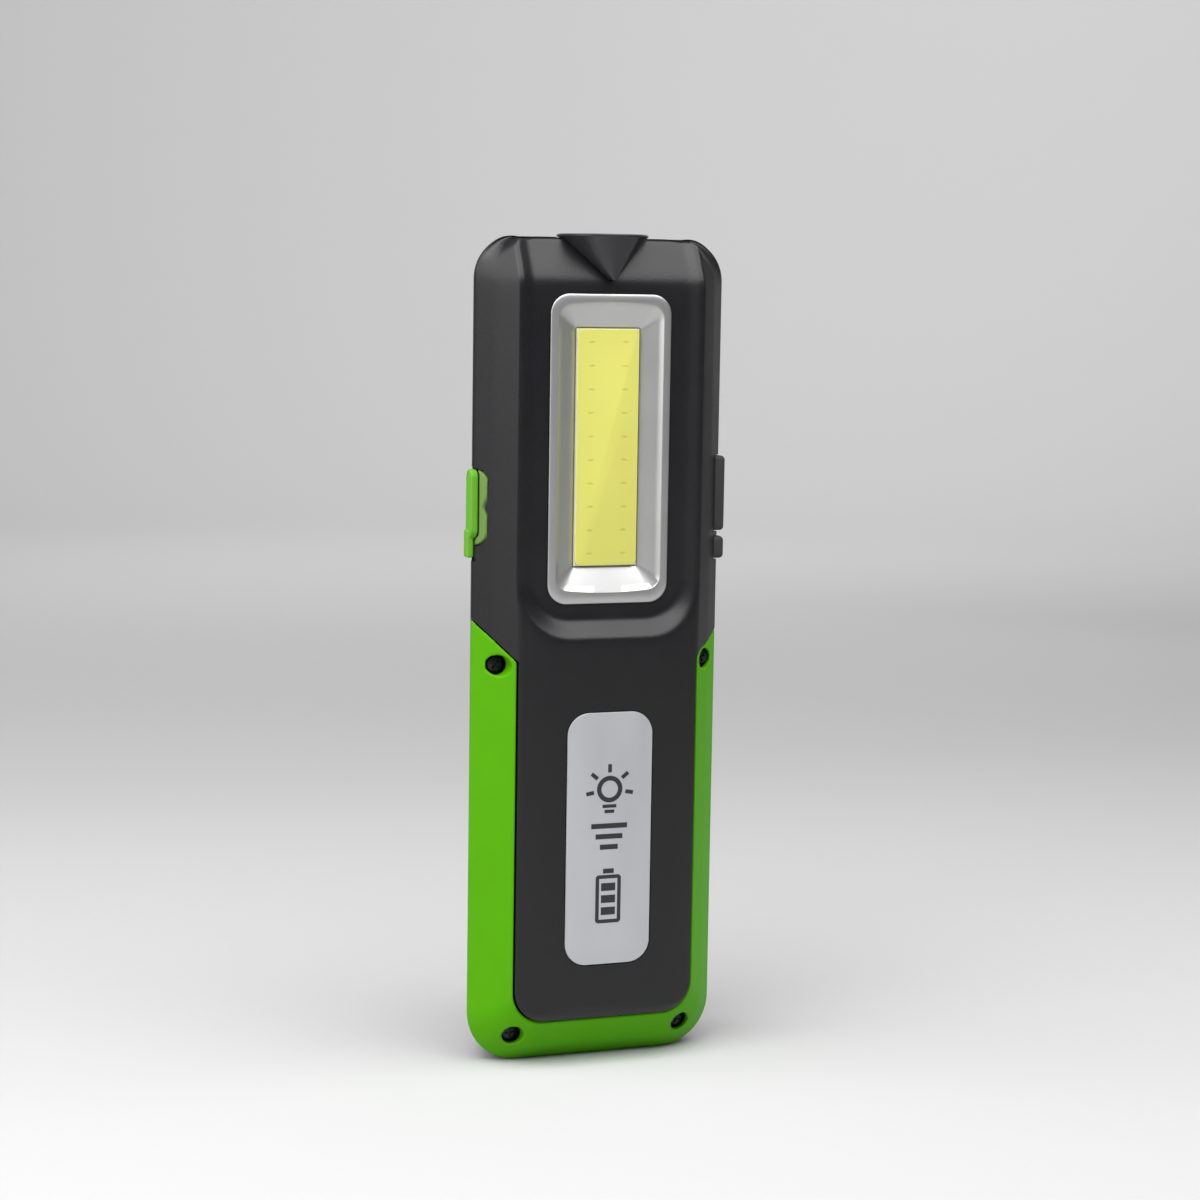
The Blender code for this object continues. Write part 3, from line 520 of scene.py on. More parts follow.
class Bench:
    """Makes and changes mesh pieces. Depths are measured from the lamp's face."""

    def __init__(self, face: float) -> None:
        """Take the world Y of the lamp's foremost face."""
        self.face = face

    def point(self, x: float, depth: float, z: float) -> Vector:
        """A point given by its depth."""
        return Vector((x, self.face + depth, z))

    def piece(self, bm: bmesh.types.BMesh, name: str, sharp: float = SHARP) -> bpy.types.Object:
        """Close a bmesh and make it an object.

        Args:
            bm: the shape, which is freed.
            name: the piece's name.
            sharp: angle in degrees above which an edge stays sharp.

        Returns:
            The new object, at the origin.
        """
        bmesh.ops.remove_doubles(bm, verts=bm.verts, dist=MERGE)
        bmesh.ops.dissolve_degenerate(bm, dist=MERGE, edges=bm.edges)
        open_edges = [edge for edge in bm.edges if edge.is_boundary]
        if open_edges:
            bmesh.ops.holes_fill(bm, edges=open_edges)
        bmesh.ops.recalc_face_normals(bm, faces=bm.faces)
        mesh = bpy.data.meshes.new(name)
        bm.to_mesh(mesh)
        bm.free()
        mesh.shade_smooth()
        mesh.set_sharp_from_angle(angle=math.radians(sharp))
        made = bpy.data.objects.new(name, mesh)
        bpy.context.scene.collection.objects.link(made)
        return made

    def skin(self, rings: Sequence[Sequence[Vector]], name: str, sharp: float = SHARP) -> bpy.types.Object:
        """Lay a grid over closed rings of equal length, and close its two ends.

        Args:
            rings: the rings, in order, each a list of points.
            name: the piece's name.
            sharp: angle in degrees above which an edge stays sharp.

        Returns:
            The new object.
        """
        across, along = len(rings[0]), len(rings) - 1
        bm = bmesh.new()
        bmesh.ops.create_grid(bm, x_segments=across, y_segments=along, size=0.5)
        for vert in bm.verts:
            column, row = round((vert.co.x + 0.5) * across), round((vert.co.y + 0.5) * along)
            vert.co = rings[row][column % across]
        return self.piece(bm, name, sharp)

    def loft(self, keys: Sequence[Outline], steps: Steps, name: str) -> bpy.types.Object:
        """A closed solid through outlines at their depths."""
        rings = [[self.point(x, key.depth, z) for x, z in key.points(steps)] for key in keys]
        return self.skin(rings, name)

    def pushed(self, outline: Sequence[Vector], way: Sequence[float]) -> bmesh.types.BMesh:
        """A flat outline, extruded along a vector."""
        bm = bmesh.new()
        face = bm.faces.new([bm.verts.new(point) for point in outline])
        grown = bmesh.ops.extrude_face_region(bm, geom=[face])
        moved = [item for item in grown["geom"] if isinstance(item, bmesh.types.BMVert)]
        bmesh.ops.translate(bm, vec=way, verts=moved)
        return bm

    def prism(self, shape: Sequence[tuple[float, float]], start: float, end: float, name: str,
              bevel: float = 0.0) -> bpy.types.Object:
        """Push a flat outline of (x, z) points back from one depth to another.

        Args:
            shape: the outline.
            start: depth of its front.
            end: depth of its back.
            name: the piece's name.
            bevel: width of the rounding along every edge.

        Returns:
            The new object.
        """
        bm = self.pushed([self.point(x, start, z) for x, z in shape], (0, end - start, 0))
        bmesh.ops.recalc_face_normals(bm, faces=bm.faces)
        if bevel:
            self.rounded(bm, bevel)
        return self.piece(bm, name)

    def rounded(self, bm: bmesh.types.BMesh, width: float, angle: float = 40.0, segments: int = 3) -> None:
        """Bevel the edges of a bmesh that are sharper than an angle in degrees."""
        sharp = [edge for edge in bm.edges
                 if len(edge.link_faces) == 2 and edge.calc_face_angle() > math.radians(angle)]
        bmesh.ops.bevel(bm, geom=sharp, offset=width, offset_type="OFFSET", affect="EDGES",
                        segments=segments, profile=0.5, material=-1, clamp_overlap=True)

    def block(self, low: Sequence[float], high: Sequence[float], name: str,
              bevel: float = 0.0) -> bpy.types.Object:
        """A block between two corners (x, depth, z), with rounded edges if asked."""
        bm = bmesh.new()
        bmesh.ops.create_cube(bm, size=1)
        bmesh.ops.scale(bm, vec=[h - l for l, h in zip(low, high)], verts=bm.verts)
        middle = [(h + l) / 2 for l, h in zip(low, high)]
        bmesh.ops.translate(bm, vec=self.point(*middle), verts=bm.verts)
        if bevel:
            self.rounded(bm, bevel)
        return self.piece(bm, name)

    def turned(self, profile: Sequence[tuple[float, float]], centre: Vector, name: str,
               axis: Vector = Vector((0, 0, 1)), steps: int = 72) -> bpy.types.Object:
        """Spin a closed profile about an axis.

        Args:
            profile: points (radius, height along the axis).
            centre: a point on the axis, where height is 0.
            name: the piece's name.
            axis: the axis.
            steps: segments in the full turn.

        Returns:
            The new object.
        """
        bm = bmesh.new()
        verts = [bm.verts.new((radius, 0, height)) for radius, height in profile]
        edges = [bm.edges.new((verts[i - 1], verts[i])) for i in range(len(verts))]
        bmesh.ops.spin(bm, geom=verts + edges, axis=(0, 0, 1), cent=(0, 0, 0), angle=2 * math.pi,
                       steps=steps, use_merge=True)
        turn = Vector((0, 0, 1)).rotation_difference(axis).to_matrix()
        bmesh.ops.rotate(bm, matrix=turn, verts=bm.verts)
        bmesh.ops.translate(bm, vec=centre, verts=bm.verts)
        return self.piece(bm, name)

    def rod(self, start: Vector, end: Vector, radius: float, name: str, end_radius: float | None = None,
            steps: int = 48) -> bpy.types.Object:
        """A cylinder or cone between two points."""
        bm = bmesh.new()
        along = end - start
        bmesh.ops.create_cone(bm, cap_ends=True, segments=steps, radius1=radius,
                              radius2=radius if end_radius is None else end_radius, depth=along.length)
        turn = Vector((0, 0, 1)).rotation_difference(along).to_matrix()
        bmesh.ops.rotate(bm, matrix=turn, verts=bm.verts)
        bmesh.ops.translate(bm, vec=(start + end) / 2, verts=bm.verts)
        return self.piece(bm, name)

    def dowel(self, x: float, z: float, start: float, end: float, radius: float, name: str,
              end_radius: float | None = None, steps: int = 48) -> bpy.types.Object:
        """A rod or cone that runs back from one depth to another."""
        return self.rod(self.point(x, start, z), self.point(x, end, z), radius, name, end_radius, steps)

    def combine(self, target: bpy.types.Object, tools: Sequence[bpy.types.Object], how: Cut,
                sharp: float = SHARP) -> bpy.types.Object:
        """Change one solid by others, which are used up.

        Args:
            target: the solid that stays.
            tools: the solids that change it, in order.
            how: what each of them does.
            sharp: angle in degrees above which an edge stays sharp.

        Returns:
            The target.
        """
        for tool in tools:
            modifier = target.modifiers.new(tool.name, "BOOLEAN")
            modifier.operation = how.value
            modifier.solver = "EXACT"
            modifier.object = tool
        self.settle(target, sharp)
        for tool in tools:
            bpy.data.objects.remove(tool, do_unlink=True)
        return target

    def settle(self, piece: bpy.types.Object, sharp: float = SHARP) -> None:
        """Apply a piece's modifiers."""
        graph = bpy.context.evaluated_depsgraph_get()
        mesh = bpy.data.meshes.new_from_object(piece.evaluated_get(graph))
        piece.modifiers.clear()
        old, piece.data = piece.data, mesh
        bpy.data.meshes.remove(old)
        mesh.shade_smooth()
        mesh.set_sharp_from_angle(angle=math.radians(sharp))

    def softened(self, piece: bpy.types.Object, voxel: float, passes: int) -> bpy.types.Object:
        """Round every edge of a moulding a little, as a tool-worn mould does."""
        remesh = piece.modifiers.new("even", "REMESH")
        remesh.mode = "VOXEL"
        remesh.voxel_size = voxel
        smooth = piece.modifiers.new("soften", "SMOOTH")
        smooth.iterations = passes
        smooth.factor = 0.5
        self.settle(piece, 180.0)
        return piece


def fit_out(piece: bpy.types.Object, finish: Finish, body: Body, slot: str, *nodes: str) -> bpy.types.Object:
    """Give a piece its finish, its body and the nodes that it stands for.

    Args:
        piece: the finished mesh.
        finish: its surface.
        body: what it moves with.
        slot: not used.
        nodes: the frame's nodes that it replaces.

    Returns:
        The piece.
    """
    piece.data.materials.clear()
    piece.data.materials.append(finish.material())
    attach(piece, body.value)
    if nodes:
        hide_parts(*nodes)
    LOG.info("%s: %d faces on %s", piece.name, len(piece.data.polygons), body.value)
    return piece


# ---- the lamp's casing ------------------------------------------------------------------


@dataclass(frozen=True)
class Skin:
    """The outer skin shared by the casing and the bumper."""

    bench: Bench
    half_width: float = 32.9 * MM
    body_top: float = 209.2 * MM
    bend: float = 198.6 * MM
    fold: float = 0.55
    parting: float = 14 * MM
    gap: float = 0.3 * MM
    ring: Steps = Steps(30, 16, 330)

    def keys(self) -> list[Outline]:
        """The skin's ridges, from the parting line to the edge of the face panel."""
        top = self.body_top
        return [
            Outline(self.parting - 0.1 * MM, self.half_width - 0.18 * MM, 0.18 * MM, top - 0.18 * MM,
                    12.8 * MM, 10.3 * MM),
            Outline(self.parting - 0.32 * MM, self.half_width, 0, top, 13 * MM, 10.5 * MM),
            Outline(12.6 * MM, self.half_width, 0, top, 13 * MM, 10.5 * MM),
            Outline(7.6 * MM, 28.9 * MM, 4.4 * MM, 208.9 * MM, 11 * MM, 8.6 * MM),
            Outline(2.2 * MM, 23.9 * MM, 12 * MM, 208.5 * MM, 8 * MM, 2 * MM),
            Outline(1.0 * MM, 20.2 * MM, 14.2 * MM, 206.6 * MM, 6.2 * MM, 1.2 * MM),
        ]

    def folded(self, depth: float, z: float) -> float:
        """A depth on the skin after the whole face folds back above the bend."""
        behind = min(max((depth - 2.2 * MM) / (10.4 * MM), 0.0), 1.0)
        return depth + (1 - behind ** 2.4) * self.fold * soft_ramp(z - self.bend, 1.4 * MM)

    def crested(self, x: float, z: float) -> float:
        """A height near the top end, raised over the rails and lowered beside them."""
        near = min(max((z - 202 * MM) / (7 * MM), 0.0), 1.0) ** 2
        rail = math.exp(-((abs(x) - 26 * MM) / (3.2 * MM)) ** 2)
        dip = math.exp(-((abs(x) - 20.3 * MM) / (1.6 * MM)) ** 2)
        return z + near * (0.30 * rail - 0.28 * dip) * MM

    def levels(self) -> list[Outline]:
        """Closely spaced outlines over the chamfers, with soft ridges."""
        keys = self.keys()
        places = [0, 0.5, 1.0, 1.4, 1.7, 1.85, 1.93, 2.0, 2.07, 2.15, 2.3, 2.45, 2.6, 2.75, 2.87, 2.94, 3.0,
                  3.06, 3.13, 3.25, 3.37, 3.5, 3.62, 3.74, 3.86, 3.93]
        return [rounded_path(keys, place, 0.13 if place > 1.5 else 0.001) for place in places]


@dataclass(frozen=True)
class RearPocket:
    """A round pocket in the back, and the solid seat round it."""

    z: float
    radius: float
    floor: float
    seat_radius: float
    seat_floor: float


@dataclass(frozen=True)
class Casing:
    """The two charcoal housings, and the seal between them."""

    skin: Skin
    crown: float = 1.85 * MM
    crown_reach: float = 11.3 * MM
    panel_depth: float = 2.2 * MM
    panel_half: float = 23.9 * MM
    recess_depth: float = 4.4 * MM
    recess_half: float = 20.3 * MM
    recess_bottom: float = 113.9 * MM
    recess_round: float = 10.5 * MM
    side_slope: float = 0.598
    end_slope: float = 1.016
    panel_rings: int = 44
    head_depth: float = 9.4 * MM
    post_z: float = 157 * MM
    sink_posts: tuple[float, float] = (-16.5 * MM, 16.5 * MM)
    board_posts: tuple[float, float] = (-20 * MM, 20 * MM)
    pockets: tuple[RearPocket, ...] = (
        RearPocket(HOOK_Z, 12.3 * MM, 30.9 * MM, 14 * MM, 29.4 * MM),
        *(RearPocket(z, 9.3 * MM, 31.7 * MM, 11 * MM, 30.5 * MM) for z in MAGNET_ZS))
    inner_steps: Steps = Steps(3, 6, 8)
    screws: tuple[tuple[float, float], ...] = ((-27.6 * MM, 103 * MM), (27.6 * MM, 103 * MM),
                                               (-22.7 * MM, 8.1 * MM), (22.7 * MM, 8.1 * MM))

    def recess(self, x: float, z: float) -> float:
        """Depth of the light recess at a point of the face; it is negative well outside it."""
        beside = max(abs(x) - (self.recess_half - self.recess_round), 0.0)
        below = max(self.recess_bottom + self.recess_round - z, 0.0)
        reach = math.hypot(beside, below)
        steep = (below / reach) ** 2 if reach else 0.0
        slope = self.side_slope + (self.end_slope - self.side_slope) * steep
        floor = self.recess_depth + self.skin.fold * soft_ramp(z - self.skin.bend, 1.6 * MM)
        return floor - slope * soft_ramp(reach - self.recess_round, 0.9 * MM)

    def formed(self, x: float, depth: float, z: float) -> Vector:
        """A point of the skin after the fold at the top and the light recess are pressed in."""
        pressed = smooth_max(self.skin.folded(depth, z), self.recess(x, z), 0.7 * MM)
        if depth > 12.5 * MM:
            pressed = depth
        return self.skin.bench.point(x, pressed, self.skin.crested(x, z))

    def face_rings(self) -> list[list[Vector]]:
        """Rings over the face: the chamfers, then the crowned panel down to its middle."""
        skin = self.skin
        rings = []
        for level in skin.levels():
            rings.append([self.formed(x, level.depth, z) for x, z in level.points(skin.ring)])
        edge = skin.keys()[4]
        for number in range(1, self.panel_rings + 1):
            inset = self.panel_half * number / self.panel_rings
            ring = []
            for x, z in edge.shifted(inset=inset).points(skin.ring):
                rise = min((self.panel_half - abs(x)) / self.crown_reach, inset / (4 * MM), 1.0)
                ring.append(self.formed(x, self.panel_depth - self.crown * (1 - (1 - rise) ** 2), z))
            rings.append(ring)
        return rings

    def bores(self, radius: float, start: float, end: float, name: str) -> list[bpy.types.Object]:
        """A cylinder at each housing screw, between two depths."""
        bench = self.skin.bench
        return [bench.dowel(x, z, start, end, radius, f"{name}_{number}")
                for number, (x, z) in enumerate(self.screws, 1)]

    def torch_seat(self, grow: float) -> list[bpy.types.Object]:
        """The leaning cone under the torch, the well inside it and the seat of its flange."""
        bench = self.skin.bench
        return [pointed_boss(bench, "boss_seat", grow / 3),
                bench.turned(torch_well(0.2 * MM), bench.point(0, 11.6 * MM, 0), "well_seat"),
                bench.rod(bench.point(0, 11.6 * MM, 209 * MM), bench.point(0, 11.6 * MM, 213 * MM),
                          11.5 * MM + grow, "flange_seat", steps=ROUND)]

    def side_openings(self) -> list[bpy.types.Object]:
        """The port cover's pocket, and windows for the sockets and the buttons."""
        bench, gap = self.skin.bench, self.skin.gap
        pocket = port_bar(bench, gap, 125 * MM, 157 * MM, "port_pocket")
        bench.combine(pocket, [lobed_block(bench, gap, "lobes")], Cut.KEEP_COMMON)
        slot = bench.block((-36 * MM, 11.8 * MM, 128.6 * MM), (-31.6 * MM, 16 * MM, 137 * MM), "tab_slot")
        cutters = [pocket, slot]
        for name in ("usb_socket", "charging_socket"):
            low, high = depth_box(bench, name)
            cutters.append(bench.block((-31.5 * MM, low[1] - gap, low[2] - gap),
                                       [v + gap for v in high], name + "_gap"))
        for name in ("switch_button", "torch_button"):
            low, high = depth_box(bench, name)
            cutters.append(bench.block((28 * MM, low[1] - gap, low[2] - gap),
                                       (36 * MM, high[1] + gap, high[2] + gap), name + "_gap"))
        return cutters

    def front(self) -> bpy.types.Object:
        """The face half: chamfers, crowned panel and the folded light recess."""
        bench, gap = self.skin.bench, self.skin.gap
        housing = bench.skin(self.face_rings(), "face_shell", 50.0)
        cavity = bench.loft([
            Outline(2.4 * MM, 19 * MM, 16.5 * MM, 106 * MM, 6 * MM, 2 * MM),
            Outline(5 * MM, 21 * MM, 14.6 * MM, 106 * MM, 6 * MM, 2 * MM),
            Outline(10.2 * MM, 26 * MM, 7.6 * MM, 106 * MM, 8 * MM, 2 * MM),
            Outline(14 * MM, 29.2 * MM, 3.7 * MM, 106 * MM, 10 * MM, 2 * MM),
            Outline(15.2 * MM, 29.2 * MM, 3.7 * MM, 106 * MM, 10 * MM, 2 * MM)], self.inner_steps, "cavity")
        upper = bench.loft([
            Outline(6.3 * MM, 24.6 * MM, 101 * MM, 196.6 * MM, 2 * MM, 3 * MM),
            Outline(8.8 * MM, 27 * MM, 99 * MM, 201 * MM, 2 * MM, 6 * MM),
            Outline(13.3 * MM, 30.9 * MM, 98 * MM, 207.2 * MM, 2 * MM, 9 * MM),
            Outline(15.3 * MM, 30.9 * MM, 98 * MM, 207.2 * MM, 2 * MM, 9 * MM)],
            self.inner_steps, "upper_cavity")
        bench.combine(cavity, [upper], Cut.ADD)
        posts = [bench.dowel(x, self.post_z, 0, 7.6 * MM, 2.2 * MM, "post") for x in self.sink_posts]
        bench.combine(cavity, self.bores(4.2 * MM, -1 * MM, 19 * MM, "boss") + posts, Cut.REMOVE)
        window = Outline(0, 14.9 * MM, 119.3 * MM, 194.2 * MM, 4 * MM, 4 * MM).points(Steps(2, 8, 4))
        seat = Outline(0, 11.6 * MM, 26.3 * MM, 91.4 * MM, 6 * MM, 6 * MM).points(Steps(2, 16, 4))
        cutters = [cavity, bench.prism(window, 0, 9 * MM, "bezel_window"),
                   bench.prism(seat, -1 * MM, 0.8 * MM, "label_seat"),
                   bumper_zone(self.skin, gap, "bumper_seat")]
        cutters += self.bores(3.6 * MM, -1 * MM, self.head_depth, "sleeve_seat")
        cutters += self.bores(2.6 * MM, 9 * MM, 10.8 * MM, "counterbore")
        cutters += self.bores(1.3 * MM, 5 * MM, 17 * MM, "hole")
        cutters += [bench.dowel(x, self.post_z, 5.2 * MM, 9.2 * MM, 1.05 * MM, "tap")
                    for x in self.sink_posts]
        cutters += self.torch_seat(gap) + self.side_openings()
        bench.combine(housing, cutters, Cut.REMOVE, 40.0)
        return fit_out(housing, CHARCOAL, Body.LAMP, "charcoal_plastic", "front_housing")

    def rear(self) -> bpy.types.Object:
        """The back half: a tapering tub with pockets for the magnets and the hook's base."""
        bench, gap, skin = self.skin.bench, self.skin.gap, self.skin
        top = skin.body_top
        keys = [Outline(skin.parting + gap, 32.52 * MM, 0.18 * MM, top - 0.18 * MM, 12.8 * MM, 10.3 * MM),
                Outline(skin.parting + gap + 0.2 * MM, 32.6 * MM, 0, top, 13 * MM, 10.5 * MM),
                Outline(20 * MM, 30.4 * MM, 0, top, 12 * MM, 10 * MM),
                Outline(28 * MM, 27.4 * MM, 0, top, 11 * MM, 10 * MM),
                Outline(33.2 * MM, 25 * MM, 0, 208.4 * MM, 10 * MM, 10 * MM),
                Outline(34.4 * MM, 23.4 * MM, 1.4 * MM, 206.6 * MM, 9 * MM, 9 * MM),
                Outline(34.4 * MM, 20 * MM, 4 * MM, 203 * MM, 7 * MM, 7 * MM)]
        places = [0, 1] + [1 + step / 4 for step in range(1, 5)] + [2 + step / 4 for step in range(1, 5)]
        places += [3.3, 3.55, 3.7, 3.8, 3.88, 3.95, 4.02, 4.1, 4.2, 4.3, 4.5, 4.65, 4.75, 4.85, 4.95, 5.05,
                   5.15, 5.3, 6]
        fine = Steps(16, 14, 60)
        housing = bench.loft([rounded_path(keys, place, 0.28 if place > 3.1 else 0.05) for place in places],
                             fine, "back_shell")
        cavity = bench.loft([Outline(13 * MM, 30.9 * MM, 1.8 * MM, 207.4 * MM, 11.2 * MM, 9 * MM),
                             Outline(20 * MM, 28.5 * MM, 1.8 * MM, 207.4 * MM, 10 * MM, 9 * MM),
                             Outline(28 * MM, 25.5 * MM, 1.8 * MM, 207.4 * MM, 9 * MM, 9 * MM),
                             Outline(32.6 * MM, 23.2 * MM, 2.4 * MM, 206 * MM, 8 * MM, 8 * MM)],
                            self.inner_steps, "tub")
        bosses = self.bores(3.8 * MM, 12 * MM, 34 * MM, "boss")
        bosses += [bench.dowel(x, self.post_z, 18 * MM, 36 * MM, 2.5 * MM, "post") for x in self.board_posts]
        bosses += [bench.dowel(0, pocket.z, pocket.seat_floor, 36 * MM, pocket.seat_radius, "seat")
                   for pocket in self.pockets]
        bench.combine(cavity, bosses, Cut.REMOVE)
        cutters = [cavity]
        for pocket in self.pockets:
            z, radius = pocket.z, pocket.radius
            cutters.append(bench.dowel(0, z, pocket.floor, 34 * MM, radius, "pocket", steps=ROUND))
            cutters.append(bench.dowel(0, z, 33.9 * MM, 34.9 * MM, radius, "lead_in",
                                       radius + 0.7 * MM, ROUND))
        cutters.append(bench.dowel(0, HOOK_Z, 28 * MM, 34 * MM, 1.5 * MM, "hole"))
        cutters += self.bores(1.3 * MM, 10 * MM, 22.9 * MM, "pilot")
        cutters += self.torch_seat(gap) + self.side_openings()
        cutters += [bench.dowel(x, self.post_z, 15 * MM, 24 * MM, 1.1 * MM, "tap") for x in self.board_posts]
        bench.combine(housing, cutters, Cut.REMOVE)
        return fit_out(housing, CHARCOAL, Body.LAMP, "charcoal_plastic", "rear_housing")

    def seal(self) -> bpy.types.Object:
        """A flat gasket that closes the gap between the housings."""
        bench, skin = self.skin.bench, self.skin
        start, end = skin.parting - 0.07 * MM, skin.parting + 0.27 * MM
        outer = Outline(start, 32.2 * MM, 0.8 * MM, 208.4 * MM, 12.2 * MM, 9.8 * MM)
        inner = outer.shifted(inset=0.9 * MM)
        rings = [outer, outer.shifted(end - start), inner.shifted(end - start), inner, outer]
        seal = bench.loft(rings, Steps(8, 12, 20), "casing_seal")
        bench.combine(seal, self.side_openings() + self.torch_seat(skin.gap), Cut.REMOVE)
        return fit_out(seal, FOAM, Body.LAMP, "foam")


def depth_box(bench: Bench, node: str) -> tuple[list[float], list[float]]:
    """A CAD node's lowest and highest corners as (x, depth, z)."""
    low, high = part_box(node)
    return [low.x, low.y - bench.face, low.z], [high.x, high.y - bench.face, high.z]


def pointed_boss(bench: Bench, name: str, grow: float) -> bpy.types.Object:
    """The torch's boss: the hull of a short ridge, proud of the recess floor, and the rim."""
    tip_z, tip_depth, tip_radius = 198.7 * MM - 2 * grow, 2.4 * MM, 0.35 * MM + grow / 2
    bm = bmesh.new()
    for depth, radius, z in ((tip_depth, tip_radius, tip_z), (tip_depth + 3 * MM, tip_radius, tip_z),
                             (11.6 * MM, 11.5 * MM + grow, 209.7 * MM + grow)):
        circle = bmesh.ops.create_circle(bm, segments=ROUND, radius=radius)
        bmesh.ops.translate(bm, vec=bench.point(0, depth, z), verts=circle["verts"])
    hull = bmesh.ops.convex_hull(bm, input=bm.verts)
    inside = [item for item in hull["geom_interior"] if isinstance(item, bmesh.types.BMVert)]
    bmesh.ops.delete(bm, geom=inside, context="VERTS")
    return bench.piece(bm, name)


def torch_well(grow: float) -> list[tuple[float, float]]:
    """Profile of the space inside the torch: the reflector's cone and the lens seat above it."""
    return [(0, 199.3 * MM - grow), (3.4 * MM + grow, 199.3 * MM - grow), (9.5 * MM + grow, 208.2 * MM),
            (9.7 * MM + grow, 208.2 * MM), (9.7 * MM + grow, 212 * MM), (0, 212 * MM)]


def port_bar(bench: Bench, grow: float, bottom: float, top: float, name: str) -> bpy.types.Object:
    """The port cover's cross-section pushed up from one height to another."""
    g = grow
    section = [(-30.6 * MM - g, 8.7 * MM - g), (-32.5 * MM - g, 11.2 * MM - g),
               (-34.4 * MM - g, 11.6 * MM - g), (-34.4 * MM - g, 15.6 * MM + g),
               (-31.9 * MM + g, 15.6 * MM + g), (-31.9 * MM + g, 13.3 * MM + g),
               (-29.4 * MM + g, 9.7 * MM - g / 2)]
    outline = [bench.point(x, depth, bottom - g) for x, depth in section]
    return bench.piece(bench.pushed(outline, (0, 0, top - bottom + 2 * g)), name)


def lobed_block(bench: Bench, grow: float, name: str) -> bpy.types.Object:
    """The port cover's two-lobed outline seen from the side, pushed across the lamp's left edge."""
    middle, half, radius = 142.2 * MM, 9.7 * MM + grow, 4.2 * MM + grow
    front = []
    for step in range(81):
        z = middle + half * (step / 40 - 1)
        beyond = max(0.0, abs(z - middle) - (half - radius))
        waist = 1.0 * MM * math.exp(-((z - middle) / (1.9 * MM)) ** 2)
        front.append((9.0 * MM - grow + radius - math.sqrt(max(radius ** 2 - beyond ** 2, 0.0)) + waist, z))
    side = [(20 * MM, middle - half)] + front + [(20 * MM, middle + half)]
    outline = [bench.point(-37 * MM, depth, z) for depth, z in side]
    return bench.piece(bench.pushed(outline, (10 * MM, 0, 0)), name)


def bumper_zone(skin: Skin, grow: float, name: str) -> bpy.types.Object:
    """Where the bumper lies: a U that is open at the top and has slanted arm ends."""
    bench = skin.bench
    far, edge, inner_top = 40 * MM, 24 * MM, 104.2 * MM + grow
    end = skin.parting - (0 if grow else 0.1 * MM) + grow
    zone = bench.prism([(-far, -5 * MM), (far, -5 * MM), (far, 114.1 * MM + grow), (edge, inner_top),
                        (-edge, inner_top), (-far, 121.8 * MM + grow)], -2 * MM, end, name)
    steps = Steps(10, 12, 12)
    g = grow
    core = bench.loft([
        Outline(3.5 * MM + g, 22.5 * MM - g, 13.1 * MM + g, 130 * MM, 7 * MM, 2 * MM),
        Outline(8.8 * MM + g, 27.5 * MM - g, 5.9 * MM + g, 130 * MM, 9.8 * MM, 2 * MM),
        Outline(13.3 * MM, 31.1 * MM - g, 1.8 * MM + g, 130 * MM, 11.2 * MM, 2 * MM),
        Outline(16 * MM, 31.1 * MM - g, 1.8 * MM + g, 130 * MM, 11.2 * MM, 2 * MM)], steps, "core")
    panel = bench.prism(Outline(0, edge - g, 12 * MM + g, 140 * MM, 8 * MM, 2 * MM).points(steps),
                        -3 * MM, 18 * MM, "panel")
    return bench.combine(zone, [core, panel], Cut.REMOVE)


@dataclass(frozen=True)
class Bumper:
    """The lime rubber frame over the handle's chamfers."""

    skin: Skin
    casing: Casing
    voxel: float = 0.36 * MM
    passes: int = 6
    steps: Steps = Steps(20, 12, 60)

    def build(self) -> bpy.types.Object:
        """The frame, its rims softened, with a lined counterbore for each screw."""
        bench, skin = self.skin.bench, self.skin
        levels = skin.levels()
        bumper = bench.loft(levels, self.steps, "bumper")
        bench.combine(bumper, [bumper_zone(skin, 0, "shape")], Cut.KEEP_COMMON)
        lining, *others = self.casing.bores(3.5 * MM, 0, self.casing.head_depth - 0.06 * MM, "lining")
        bench.combine(lining, others, Cut.ADD)
        bench.combine(lining, [bench.loft(levels, self.steps, "limit")], Cut.KEEP_COMMON)
        bench.combine(bumper, [lining], Cut.ADD)
        bench.combine(bumper, self.casing.bores(2.6 * MM, -1 * MM, 15 * MM, "counterbore"), Cut.REMOVE)
        bench.softened(bumper, self.voxel, self.passes)
        return fit_out(bumper, GREEN, Body.LAMP, "green_rubber", "bumper_frame")


# ---- the work light ---------------------------------------------------------------------


